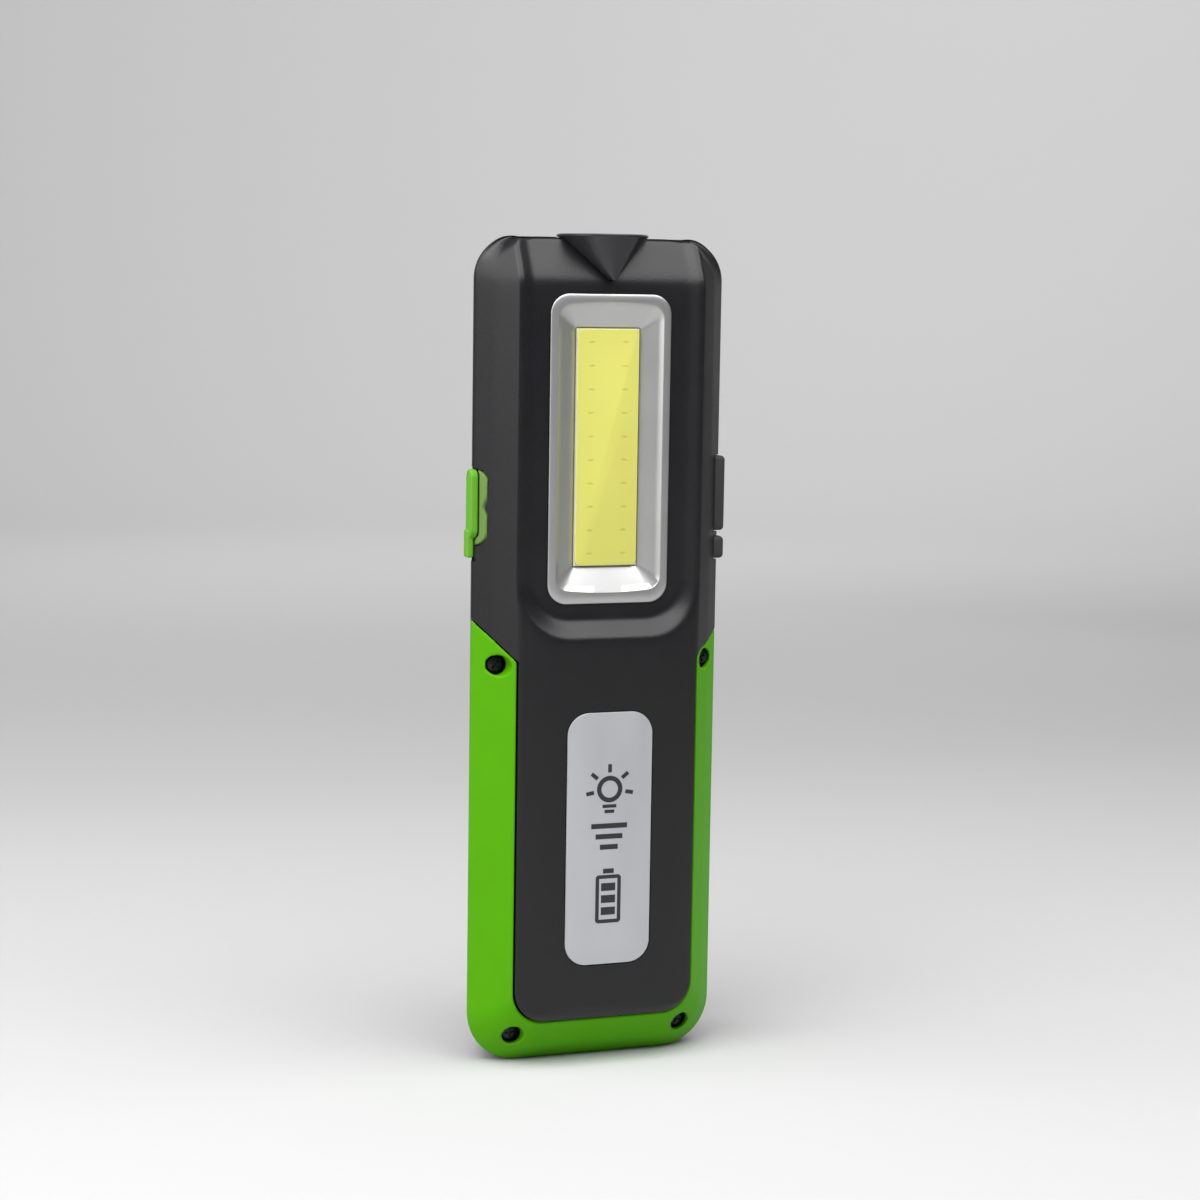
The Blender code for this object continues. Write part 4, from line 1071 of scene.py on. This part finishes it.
@dataclass(frozen=True)
class WorkLight:
    """The silver bezel and the light panel in its mouth."""

    bench: Bench
    face: float = 3.6 * MM
    half: float = 15.9 * MM
    bottom: float = 118.2 * MM
    top: float = 195.3 * MM
    mouth_half: float = 13.8 * MM
    spread: float = 0.55 * MM
    ring: Steps = Steps(24, 12, 100)

    def bezel(self) -> bpy.types.Object:
        """A flat rim, and reflector walls sloping in to the light panel."""
        rim = Outline(self.face, self.half, self.bottom, self.top, 5 * MM, 5 * MM)
        mouth = Outline(self.face, self.mouth_half, 122 * MM, 192.2 * MM, 3 * MM, 3 * MM, 0.95 * MM)
        throat = Outline(6.5 * MM, 8.6 * MM, 127.2 * MM, 187.1 * MM, 0.5 * MM, 0.5 * MM)
        skirt = Outline(7.2 * MM, 9.8 * MM, 126 * MM, 188.3 * MM, 1.5 * MM, 1.5 * MM)
        root = Outline(4.6 * MM, 14.6 * MM, 119.6 * MM, 193.9 * MM, 3.8 * MM, 3.8 * MM)
        rings = [rim.shifted(0.5 * MM)]
        rings += [rim.shifted(drop * MM, inset * MM) for drop, inset in
                  ((0.42, 0), (0.34, 0.05), (0.26, 0.18), (0.17, 0.45), (0.10, 0.8), (0.04, 1.2),
                   (0.01, 1.55))]
        rings += [mouth.shifted(drop * MM, inset * MM) for drop, inset in
                  ((0, -0.22), (0.03, -0.1), (0.12, -0.03))]
        wall = mouth.shifted(0.22 * MM, 0.03 * MM)
        rings += [wall.towards(throat, share) for share in (0, 0.25, 0.5, 0.75, 1)]
        rings += [throat.shifted(0.7 * MM), skirt, root, root.shifted(-0.5 * MM), rim.shifted(0.5 * MM)]
        bezel = self.bench.loft(rings, self.ring, "bezel_frame")
        return fit_out(bezel, SILVER, Body.LAMP, "silver_plastic", "light_bezel")

    def panel(self) -> bpy.types.Object:
        """The gel over the diodes, with a soft shoulder."""
        low, high = depth_box(self.bench, "cob_phosphor")
        base = Outline(high[1], high[0], low[2], high[2], 0.6 * MM, 0.6 * MM).shifted(inset=-self.spread)
        front = low[1] - high[1]
        rings = [base, base.shifted(front * 0.5), base.shifted(front * 0.8, 0.08 * MM),
                 base.shifted(front * 0.95, 0.14 * MM), base.shifted(front, 0.25 * MM)]
        panel = self.bench.loft(rings, Steps(8, 8, 20), "phosphor_panel")
        # the gel's finish paints a highlight along its rim and a glow over it
        return fit_out(panel, PHOSPHOR, Body.LAMP, "phosphor", "cob_phosphor")


# ---- the torch --------------------------------------------------------------------------


@dataclass(frozen=True)
class Torch:
    """The torch in the top end: collar, lens and reflector."""

    bench: Bench
    depth: float = 11.6 * MM
    radius: float = 11.5 * MM
    top: float = 210 * MM

    def collar(self) -> bpy.types.Object:
        """The pointed boss, and the rim round the lens."""
        bench, centre = self.bench, self.bench.point(0, self.depth, 0)
        collar = pointed_boss(bench, "torch_boss", 0)
        rim = [(0, 209.3 * MM), (self.radius - 0.2 * MM, 209.3 * MM), (self.radius, 209.45 * MM),
               (self.radius, 209.7 * MM), (self.radius - 0.3 * MM, self.top), (0, self.top)]
        bench.combine(collar, [bench.turned(rim, centre, "flange", steps=ROUND)], Cut.ADD)
        mouth = [(0, 209.5 * MM), (9.7 * MM, 209.5 * MM), (10.3 * MM, 210.1 * MM), (0, 210.1 * MM)]
        lead_in = bench.turned(mouth, centre, "lead_in", steps=ROUND)
        bench.combine(collar, [bench.turned(torch_well(0), centre, "well", steps=ROUND), lead_in], Cut.REMOVE)
        return fit_out(collar, COLLAR, Body.LAMP, "collar_plastic", "torch_collar")

    def lens(self) -> bpy.types.Object:
        """A clear disc with a rounded front edge."""
        profile = [(0, 208.6 * MM), (9.4 * MM, 208.6 * MM), (9.4 * MM, 209.45 * MM), (9.3 * MM, 209.6 * MM),
                   (9.1 * MM, 209.68 * MM), (0, 209.7 * MM)]
        lens = self.bench.turned(profile, self.bench.point(0, self.depth, 0), "torch_window", steps=ROUND)
        return fit_out(lens, LENS, Body.LAMP, "clear_lens", "torch_lens")

    def reflector(self) -> bpy.types.Object:
        """A plated bowl with a curved wall."""
        inner, outer = [], []
        for step in range(13):
            share = step / 12
            height = (199.6 + 8.6 * share) * MM
            radius = (2.5 + 6.0 * (0.72 * share ** 0.5 + 0.28 * share)) * MM
            limit = (3.1 + 6.0 * share) * MM
            inner.append((min(radius, limit - 0.25 * MM), height))
            outer.append((limit, height))
        bowl = self.bench.turned(inner + outer[::-1], self.bench.point(0, self.depth, 0), "reflector_bowl",
                                 steps=ROUND)
        return fit_out(bowl, MIRROR, Body.LAMP, "mirror_plating", "torch_reflector")


# ---- side controls ----------------------------------------------------------------------


@dataclass(frozen=True)
class SideControls:
    """The rubber port cover on the left and the push buttons on the right."""

    bench: Bench
    voxel: float = 0.16 * MM
    passes: int = 2

    def pill(self, grow: float, name: str) -> bpy.types.Object:
        """The plug's raised body: a bar with half-round ends, standing off the lamp's side."""
        low = (-33.9 * MM - grow, 11 * MM - grow, 134.4 * MM - grow)
        high = (-31.9 * MM + grow, 15.5 * MM + grow, 151.6 * MM + grow)
        block = self.bench.block(low, high, "raw")
        bm = bmesh.new()
        bm.from_mesh(block.data)
        bpy.data.objects.remove(block, do_unlink=True)
        ends = [edge for edge in bm.edges if abs(edge.verts[0].co.x - edge.verts[1].co.x) > MM]
        bmesh.ops.bevel(bm, geom=ends, offset=2.15 * MM, offset_type="OFFSET", affect="EDGES", segments=8,
                        profile=0.5, material=-1, clamp_overlap=True)
        self.bench.rounded(bm, 0.45 * MM, 60.0)
        return self.bench.piece(bm, name)

    def port_cover(self) -> list[bpy.types.Object]:
        """A raised pill with a pull tab, on a thin two-lobed flange painted a darker, greyer green as its
        shade and edge sheen.
        """
        bench = self.bench
        flange = port_bar(bench, -0.22 * MM, 125 * MM, 157 * MM, "port_flange")
        bench.combine(flange, [lobed_block(bench, -0.1 * MM, "lobes")], Cut.KEEP_COMMON)
        proud = bench.block((-36 * MM, 11 * MM, 125 * MM), (-32.3 * MM, 17 * MM, 157 * MM), "proud")
        groove = self.pill(0.32 * MM, "groove")
        bench.combine(flange, [proud, groove], Cut.REMOVE)
        bench.softened(flange, self.voxel, self.passes)
        plug = self.pill(0, "port_plug")
        tab = bench.block((-34.4 * MM, 12.2 * MM, 129.5 * MM), (-32.6 * MM, 15.4 * MM, 136.4 * MM),
                          "tab", 0.5 * MM)
        bench.combine(plug, [tab], Cut.ADD)
        bench.softened(plug, self.voxel, self.passes)
        # the flange's darker, greyer green is painted shade and sheen
        return [fit_out(flange, FLANGE_SHADE_AND_SHEEN_GREEN, Body.PORT_COVER, "green_rubber"),
                fit_out(plug, PORT_GREEN, Body.PORT_COVER, "green_rubber", "port_cover")]

    def buttons(self) -> list[bpy.types.Object]:
        """The two rounded push buttons."""
        made = []
        for node, name, body in (("switch_button", "main_button", Body.SWITCH),
                                 ("torch_button", "small_button", Body.TORCH_SWITCH)):
            low, high = depth_box(self.bench, node)
            button = self.bench.block(low, high, name)
            bevel = button.modifiers.new("edges", "BEVEL")
            bevel.width, bevel.segments = 1.1 * MM, 5
            self.bench.settle(button)
            made.append(fit_out(button, BUTTON, body, "button_rubber", node))
        return made


# ---- label, screws and the back ---------------------------------------------------------


@dataclass(frozen=True)
class LabelPlate:
    """The satin plate on the handle, with a printed pictogram."""

    bench: Bench
    half: float = 11.3 * MM
    bottom: float = 26.6 * MM
    top: float = 91.1 * MM
    ink: float = 0.03 * MM

    def plate(self) -> bpy.types.Object:
        """The plate, with a pressed edge."""
        base = Outline(0.5 * MM, self.half, self.bottom, self.top, 5.7 * MM, 5.7 * MM)
        rings = [base, base.shifted(-0.3 * MM), base.shifted(-0.42 * MM, 0.08 * MM),
                 base.shifted(-0.5 * MM + self.ink, 0.25 * MM)]
        plate = self.bench.loft(rings, Steps(8, 16, 20), "name_plate")
        return fit_out(plate, FOIL, Body.LAMP, "label_silver", "label_plate")

    def band(self, outline: Outline, width: float, name: str) -> bpy.types.Object:
        """A printed line of some width along the inside of an outline."""
        inner = outline.shifted(inset=width)
        rings = [outline, outline.shifted(-self.ink), inner.shifted(-self.ink), inner, outline]
        return self.bench.loft(rings, Steps(8, 10, 8), name)

    def disc(self, centre: tuple[float, float], outer: float, inner: float, name: str) -> bpy.types.Object:
        """A printed ring."""
        x, z = centre
        profile = [(inner, 0), (outer, 0), (outer, self.ink), (inner, self.ink)]
        return self.bench.turned(profile, self.bench.point(x, 0, z), name, Vector((0, 1, 0)), 64)

    def bar(self, centre: tuple[float, float], size: tuple[float, float], name: str,
            turn: float = 0.0) -> bpy.types.Object:
        """A printed dash turned by an angle in degrees."""
        across, along = size[0] / 2, size[1] / 2
        angle = math.radians(turn)
        corners = [(-across, -along), (across, -along), (across, along), (-across, along)]
        shape = [(centre[0] + x * math.cos(angle) - z * math.sin(angle),
                  centre[1] + x * math.sin(angle) + z * math.cos(angle)) for x, z in corners]
        return self.bench.prism(shape, 0, self.ink, name)

    def print(self) -> list[bpy.types.Object]:
        """A bulb with its rays, a stair of brightness bars and a battery."""
        bulb, cell_middle = (0, 71.6 * MM), 43.4 * MM
        pieces = [self.disc(bulb, 3.4 * MM, 2.2 * MM, "print_bulb")]
        for number in range(5):
            angle = math.radians(-10 + 50 * number)
            spot = (bulb[0] + 5.3 * MM * math.cos(angle), bulb[1] + 5.3 * MM * math.sin(angle))
            pieces.append(self.bar(spot, (1.0 * MM, 2.1 * MM), f"print_ray_{number + 1}", -100 + 50 * number))
        for number, width in enumerate((3.7 * MM, 2.6 * MM), 1):
            spot = (0, bulb[1] - (3.0 + 1.35 * number) * MM)
            pieces.append(self.bar(spot, (width, 0.85 * MM), f"print_cap_{number}"))
        for number in range(3):
            spot, width = (0, (62.2 - 2.7 * number) * MM), (9.6 - 2.4 * number) * MM
            pieces.append(self.bar(spot, (width, 1.3 * MM), f"print_step_{number + 1}"))
        cell = Outline(self.ink, 3.4 * MM, cell_middle - 6.2 * MM, cell_middle + 6.2 * MM, 0.9 * MM, 0.9 * MM)
        pieces.append(self.band(cell, 0.95 * MM, "print_cell"))
        pieces.append(self.bar((0, cell_middle + 7.2 * MM), (2.9 * MM, 1.2 * MM), "print_cell_tip"))
        for number in range(3):
            spot = (0, cell_middle + 3.1 * (number - 1) * MM)
            pieces.append(self.bar(spot, (3.8 * MM, 2.0 * MM), f"print_charge_{number + 1}"))
        return [fit_out(piece, INK, Body.LAMP, "label_silver") for piece in pieces]


@dataclass(frozen=True)
class Screw:
    """A pan-head screw with a cross recess, pointing into the lamp."""

    bench: Bench
    radius: float
    height: float
    shank: float
    length: float

    def build(self, x: float, depth: float, z: float, name: str, *nodes: str, turn: float = 20.0,
              facing: float = 1.0) -> bpy.types.Object:
        """The screw with its head's face at a depth.

        Args:
            x: place across the lamp.
            depth: depth of the head's face.
            z: height on the lamp.
            name: the piece's name.
            nodes: the nodes that it replaces.
            turn: how far its recess is turned, in degrees.
            facing: 1 when it is driven from the face, -1 from the back.

        Returns:
            The screw.
        """
        bench, h, r = self.bench, self.height, self.radius
        profile = [(0, 0), (r * 0.72, 0.02 * h), (r * 0.93, 0.18 * h), (r, 0.42 * h), (r, h),
                   (self.shank, h), (self.shank, h + self.length - 0.6 * MM),
                   (self.shank * 0.4, h + self.length), (0, h + self.length)]
        centre = bench.point(x, depth, z)
        screw = bench.turned(profile, centre, name, Vector((0, facing, 0)), 48)
        slots = []
        for extra in (0, 90):
            slot = bench.block((-r * 0.62, -0.5 * h, -r * 0.13), (r * 0.62, 0.55 * h, r * 0.13), "slot")
            angle = Matrix.Rotation(math.radians(turn + extra), 4, "Y")
            flip = Matrix.Diagonal((1, facing, 1, 1))
            home = Matrix.Translation((0, -bench.face, 0))
            slot.data.transform(Matrix.Translation(centre) @ flip @ angle @ home)
            if facing < 0:
                slot.data.flip_normals()
            slots.append(slot)
        bench.combine(screw, slots, Cut.REMOVE)
        return fit_out(screw, DARK_SCREW if facing > 0 else STEEL, Body.LAMP, "screw_steel", *nodes)


@dataclass(frozen=True)
class BackFittings:
    """The magnets, and the swivelling hook with its base."""

    bench: Bench
    axis_z: float = 110 * MM
    axis_depth: float = 33.1 * MM
    back: float = 36 * MM

    def crossbar(self, half: float, radius: float, name: str) -> bpy.types.Object:
        """A rod along the axis that the hook folds on."""
        return self.bench.rod(self.bench.point(-half, self.axis_depth, self.axis_z),
                              self.bench.point(half, self.axis_depth, self.axis_z), radius, name)

    def magnets(self) -> list[bpy.types.Object]:
        """Plated discs with turned edges."""
        made = []
        for node, name in (("magnet_lower", "magnet_disc_lower"), ("magnet_upper", "magnet_disc_upper")):
            low, high = depth_box(self.bench, node)
            radius, thick = (high[0] - low[0]) / 2, high[1] - low[1]
            profile = [(0, 0), (radius - 0.4 * MM, 0), (radius, 0.4 * MM), (radius, thick - 0.5 * MM),
                       (radius - 0.15 * MM, thick - 0.15 * MM), (radius - 0.5 * MM, thick),
                       (1.7 * MM, thick), (1.4 * MM, thick - 0.4 * MM), (0, thick - 0.4 * MM)]
            centre = self.bench.point(0, low[1], (low[2] + high[2]) / 2)
            magnet = self.bench.turned(profile, centre, name, Vector((0, 1, 0)), ROUND)
            made.append(fit_out(magnet, NICKEL, Body.LAMP, "magnet_nickel", node))
        return made

    def base(self) -> bpy.types.Object:
        """The disc that carries the hook, with a grip ring and the hook's slot."""
        bench = self.bench
        profile = [(0, 0), (11.8 * MM, 0), (12 * MM, 0.2 * MM), (12 * MM, 2.9 * MM), (11.8 * MM, 3.3 * MM),
                   (11.4 * MM, 3.5 * MM), (10.4 * MM, 3.5 * MM), (10.1 * MM, 3.2 * MM), (9.7 * MM, 3.2 * MM),
                   (9.4 * MM, 3.5 * MM), (0, 3.5 * MM)]
        base = bench.turned(profile, bench.point(0, 31.2 * MM, HOOK_Z), "hook_disc", Vector((0, 1, 0)), ROUND)
        slot = bench.block((-3.6 * MM, 30 * MM, self.axis_z - 3.4 * MM),
                           (3.6 * MM, 36 * MM, self.axis_z + 3.4 * MM), "slot")
        bore = self.crossbar(7.1 * MM, 1.1 * MM, "bore")
        hole = bench.dowel(0, HOOK_Z, 30 * MM, 36 * MM, 1.5 * MM, "hole")
        seat = bench.dowel(0, HOOK_Z, 33 * MM, 37 * MM, 2.3 * MM, "seat")
        bench.combine(base, [slot, bore, hole, seat], Cut.REMOVE)
        return fit_out(base, COLLAR, Body.HOOK_BASE, "hook_base_plastic", "hook_base")

    def pin(self) -> bpy.types.Object:
        """The pin that the hook folds on."""
        profile = [(0, 0), (0.6 * MM, 0), (0.8 * MM, 0.2 * MM), (0.8 * MM, 13.4 * MM),
                   (0.6 * MM, 13.6 * MM), (0, 13.6 * MM)]
        end = self.bench.point(-6.8 * MM, self.axis_depth, self.axis_z)
        pin = self.bench.turned(profile, end, "fold_pin", Vector((1, 0, 0)), 32)
        return fit_out(pin, STEEL, Body.HOOK_BASE, "screw_steel", "hook_pin")

    def hook(self) -> bpy.types.Object:
        """The pressed hook: a stem that curls into an open eye."""
        bench = self.bench
        inner, outer, stem = 6 * MM, 9.2 * MM, 3 * MM
        centre, tip = (0.0, 138.5 * MM), 168.0
        right = math.degrees(math.asin(stem / outer)) - 90
        left = -90 - math.degrees(math.asin(stem / inner))
        foot = self.axis_z - 0.2 * MM

        def polar(radius: float, degrees: float) -> tuple[float, float]:
            """The x and z of a point at a radius and an angle."""
            angle = math.radians(degrees)
            return radius * math.cos(angle), radius * math.sin(angle)

        def arc(radius: float, start: float, end: float) -> list[tuple[float, float]]:
            """Points round the eye's centre from one angle to another, in degrees."""
            spots = [polar(radius, start + (end - start) * step / 64) for step in range(65)]
            return [(centre[0] + x, centre[1] + z) for x, z in spots]

        middle = (inner + outer) / 2
        nose = []
        for side, bulge in ((0.8, 0.6), (0.5, 0.87), (0, 1), (-0.5, 0.87), (-0.8, 0.6)):
            (x, z), (aside, above) = polar(middle, tip + 4.5 * bulge), polar((outer - middle) * side, tip)
            nose.append((centre[0] + x + aside, centre[1] + z + above))
        shape = [(-stem, foot), (stem, foot)] + arc(outer, right, tip - 4) + nose + arc(inner, tip - 4, left)
        made = bench.prism(shape, self.back - 1 * MM, self.back, "hanging_hook", 0.22 * MM)
        web = bench.block((-stem, self.axis_depth, foot),
                          (stem, self.back - 0.02 * MM, self.axis_z + 3 * MM), "web", 0.15 * MM)
        bench.combine(made, [web, self.crossbar(3.2 * MM, 1.8 * MM, "barrel")], Cut.ADD)
        bench.combine(made, [self.crossbar(4 * MM, 1.1 * MM, "bore")], Cut.REMOVE)
        return fit_out(made, STEEL, Body.HOOK, "screw_steel", "hook")


INSIDES: dict[str, Finish] = {
    "cob_board": BOARD_WHITE, "heat_sink": ALUMINIUM, "heat_sink_screw_1": STEEL, "heat_sink_screw_2": STEEL,
    # torch_led shares the phosphor gel, with its painted glow
    "torch_board": BOARD_WHITE, "torch_led": PHOSPHOR, "battery_cell": WRAP, "cell_contact_top": NICKEL,
    "cell_contact_bottom": NICKEL, "foam_pad": FOAM, "control_board": CIRCUIT, "board_screw_1": STEEL,
    "board_screw_2": STEEL, "charging_socket": STEEL, "usb_socket": STEEL, "tact_switch_main": COLLAR,
    "tact_switch_torch": COLLAR, "battery_lead_positive": RED_LEAD, "battery_lead_negative": BLACK_LEAD,
    "light_lead_positive": RED_LEAD, "light_lead_negative": BLACK_LEAD, "torch_lead_positive": RED_LEAD,
    "torch_lead_negative": BLACK_LEAD,
}


def finish_insides(nodes: dict[str, bpy.types.Object]) -> None:
    """Give each carried-over node its finish."""
    for name, finish in INSIDES.items():
        mesh = nodes[name].data
        mesh.materials.clear()
        mesh.materials.append(finish.material())
        LOG.info("%s keeps its shape, in %s", name, finish.name)


# ---- studio -----------------------------------------------------------------------------


@dataclass(frozen=True)
class SoftBox:
    """A square studio light aimed at the lamp. Angles are in degrees, azimuth 0 in front."""

    name: str
    azimuth: float
    elevation: float
    distance: float
    width: float
    height: float
    power: float

    def build(self, target: Vector) -> None:
        """Hang the light."""
        light = bpy.data.lights.new(self.name, "AREA")
        light.shape, light.size, light.size_y = "RECTANGLE", self.width, self.height
        light.energy = self.power
        lamp = bpy.data.objects.new(self.name, light)
        across, up = math.radians(self.azimuth), math.radians(self.elevation)
        offset = Vector((math.sin(across) * math.cos(up), -math.cos(across) * math.cos(up), math.sin(up)))
        lamp.location = target + offset * self.distance
        lamp.rotation_euler = offset.to_track_quat("Z", "Y").to_euler()
        bpy.context.scene.collection.objects.link(lamp)


@dataclass(frozen=True)
class Studio:
    """A pale floor that sweeps up behind the lamp, soft lights and the camera."""

    yaw: float = 20.0
    pitch: float = 6.74
    roll: float = 0.89
    target: Colour = (-0.0034, -0.018, 0.1196)
    distance: float = 0.649
    focal: float = 78.18
    air: float = 0.16
    floor_radius: float = 1.5
    sweep_radius: float = 0.7
    sweep_steps: int = 12
    wall_spot: Colour = (0.5, 2.1, 0.2)
    wall_box: SoftBox = SoftBox("wall_box", 0, 35, 1.3, 1.6, 0.6, 12.5)
    boxes: tuple[SoftBox, ...] = (
        SoftBox("top_box", 6, 66, 0.78, 1.25, 0.70, 11.5),
        SoftBox("left_box", -68, 9, 0.90, 0.75, 0.30, 1.5),
        SoftBox("high_left_box", -80, 46, 0.80, 0.85, 0.80, 6.0),
        SoftBox("rim_box", 140, 20, 0.90, 0.20, 0.60, 0.2),
    )

    def floor(self) -> None:
        """The pale sweep."""
        bm = bmesh.new()
        bmesh.ops.create_circle(bm, cap_ends=True, segments=ROUND, radius=self.floor_radius)
        edge = [e for e in bm.edges if e.is_boundary]
        for step in range(1, self.sweep_steps + 1):
            turn = math.radians(90 * step / self.sweep_steps)
            before = math.radians(90 * (step - 1) / self.sweep_steps)
            grown = bmesh.ops.extrude_edge_only(bm, edges=edge)["geom"]
            verts = [item for item in grown if isinstance(item, bmesh.types.BMVert)]
            edge = [item for item in grown if isinstance(item, bmesh.types.BMEdge)]
            reach = self.floor_radius + self.sweep_radius * math.sin(turn)
            growth = reach / (self.floor_radius + self.sweep_radius * math.sin(before))
            bmesh.ops.scale(bm, vec=(growth, growth, 1), verts=verts)
            rise = self.sweep_radius * (math.cos(before) - math.cos(turn))
            bmesh.ops.translate(bm, vec=(0, 0, rise), verts=verts)
        mesh = bpy.data.meshes.new("studio_sweep")
        bm.to_mesh(mesh)
        bm.free()
        mesh.shade_smooth()
        sweep = bpy.data.objects.new("studio_sweep", mesh)
        bpy.context.scene.collection.objects.link(sweep)
        mesh.materials.append(PAPER.material())

    def camera(self) -> None:
        """The camera, level with the top of the lamp and to its left."""
        yaw, pitch, roll = (math.radians(angle) for angle in (self.yaw, self.pitch, self.roll))
        back = Vector((-math.sin(yaw) * math.cos(pitch), -math.cos(yaw) * math.cos(pitch), math.sin(pitch)))
        right = Vector((math.cos(yaw), -math.sin(yaw), 0))
        up = back.cross(right)
        tilted_right = right * math.cos(roll) + up * math.sin(roll)
        tilted_up = up * math.cos(roll) - right * math.sin(roll)
        data = bpy.data.cameras.new("camera")
        data.lens, data.sensor_width = self.focal, 36.0
        data.clip_start, data.clip_end = 0.01, 20.0
        camera = bpy.data.objects.new("camera", data)
        turn = Matrix((tilted_right, tilted_up, back)).transposed().to_4x4()
        camera.matrix_world = Matrix.Translation(Vector(self.target) + back * self.distance) @ turn
        bpy.context.scene.collection.objects.link(camera)
        bpy.context.scene.camera = camera

    def build(self) -> None:
        """Set up everything."""
        self.floor()
        for box in self.boxes:
            box.build(Vector(self.target))
        self.wall_box.build(Vector(self.wall_spot))
        world = bpy.data.worlds.new("studio_air")
        bpy.context.scene.world = world
        bpy.context.scene.view_settings.view_transform = "Standard"
        world.use_nodes = True
        background = world.node_tree.nodes["Background"]
        background.inputs["Color"].default_value = (1, 1, 1, 1)
        background.inputs["Strength"].default_value = self.air
        self.camera()


def corners(box: Sequence[Sequence[float]]) -> list[list[float]]:
    """A box's two corners as plain lists."""
    return [[float(value) for value in corner] for corner in box]


def main() -> None:
    """Build the lamp's looks and the studio."""
    logging.basicConfig(level=logging.INFO, format="%(name)s: %(message)s")
    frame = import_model()
    bench = Bench(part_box("label_plate")[0].y)
    skin = Skin(bench)
    casing = Casing(skin)
    casing.front()
    casing.rear()
    casing.seal()
    Bumper(skin, casing).build()
    light = WorkLight(bench)
    light.bezel()
    light.panel()
    torch = Torch(bench)
    torch.collar()
    torch.lens()
    torch.reflector()
    sides = SideControls(bench)
    sides.port_cover()
    sides.buttons()
    label = LabelPlate(bench)
    label.plate()
    label.print()
    housing_screw = Screw(bench, 2.1 * MM, 1.1 * MM, 1 * MM, 11.7 * MM)
    for number, (x, z) in enumerate(casing.screws, 1):
        housing_screw.build(x, casing.head_depth, z, f"casing_screw_{number}", f"housing_screw_{number}",
                            turn=15.0 + 23 * number)
    pivot = Screw(bench, 2 * MM, 1.2 * MM, 1.1 * MM, 4.9 * MM)
    pivot.build(0, 34.5 * MM, HOOK_Z, "pivot_screw", "hook_base_screw", facing=-1.0)
    fittings = BackFittings(bench)
    fittings.magnets()
    fittings.base()
    fittings.pin()
    fittings.hook()
    finish_insides(frame["nodes"])
    Studio().build()


if __name__ == "__main__":
    main()
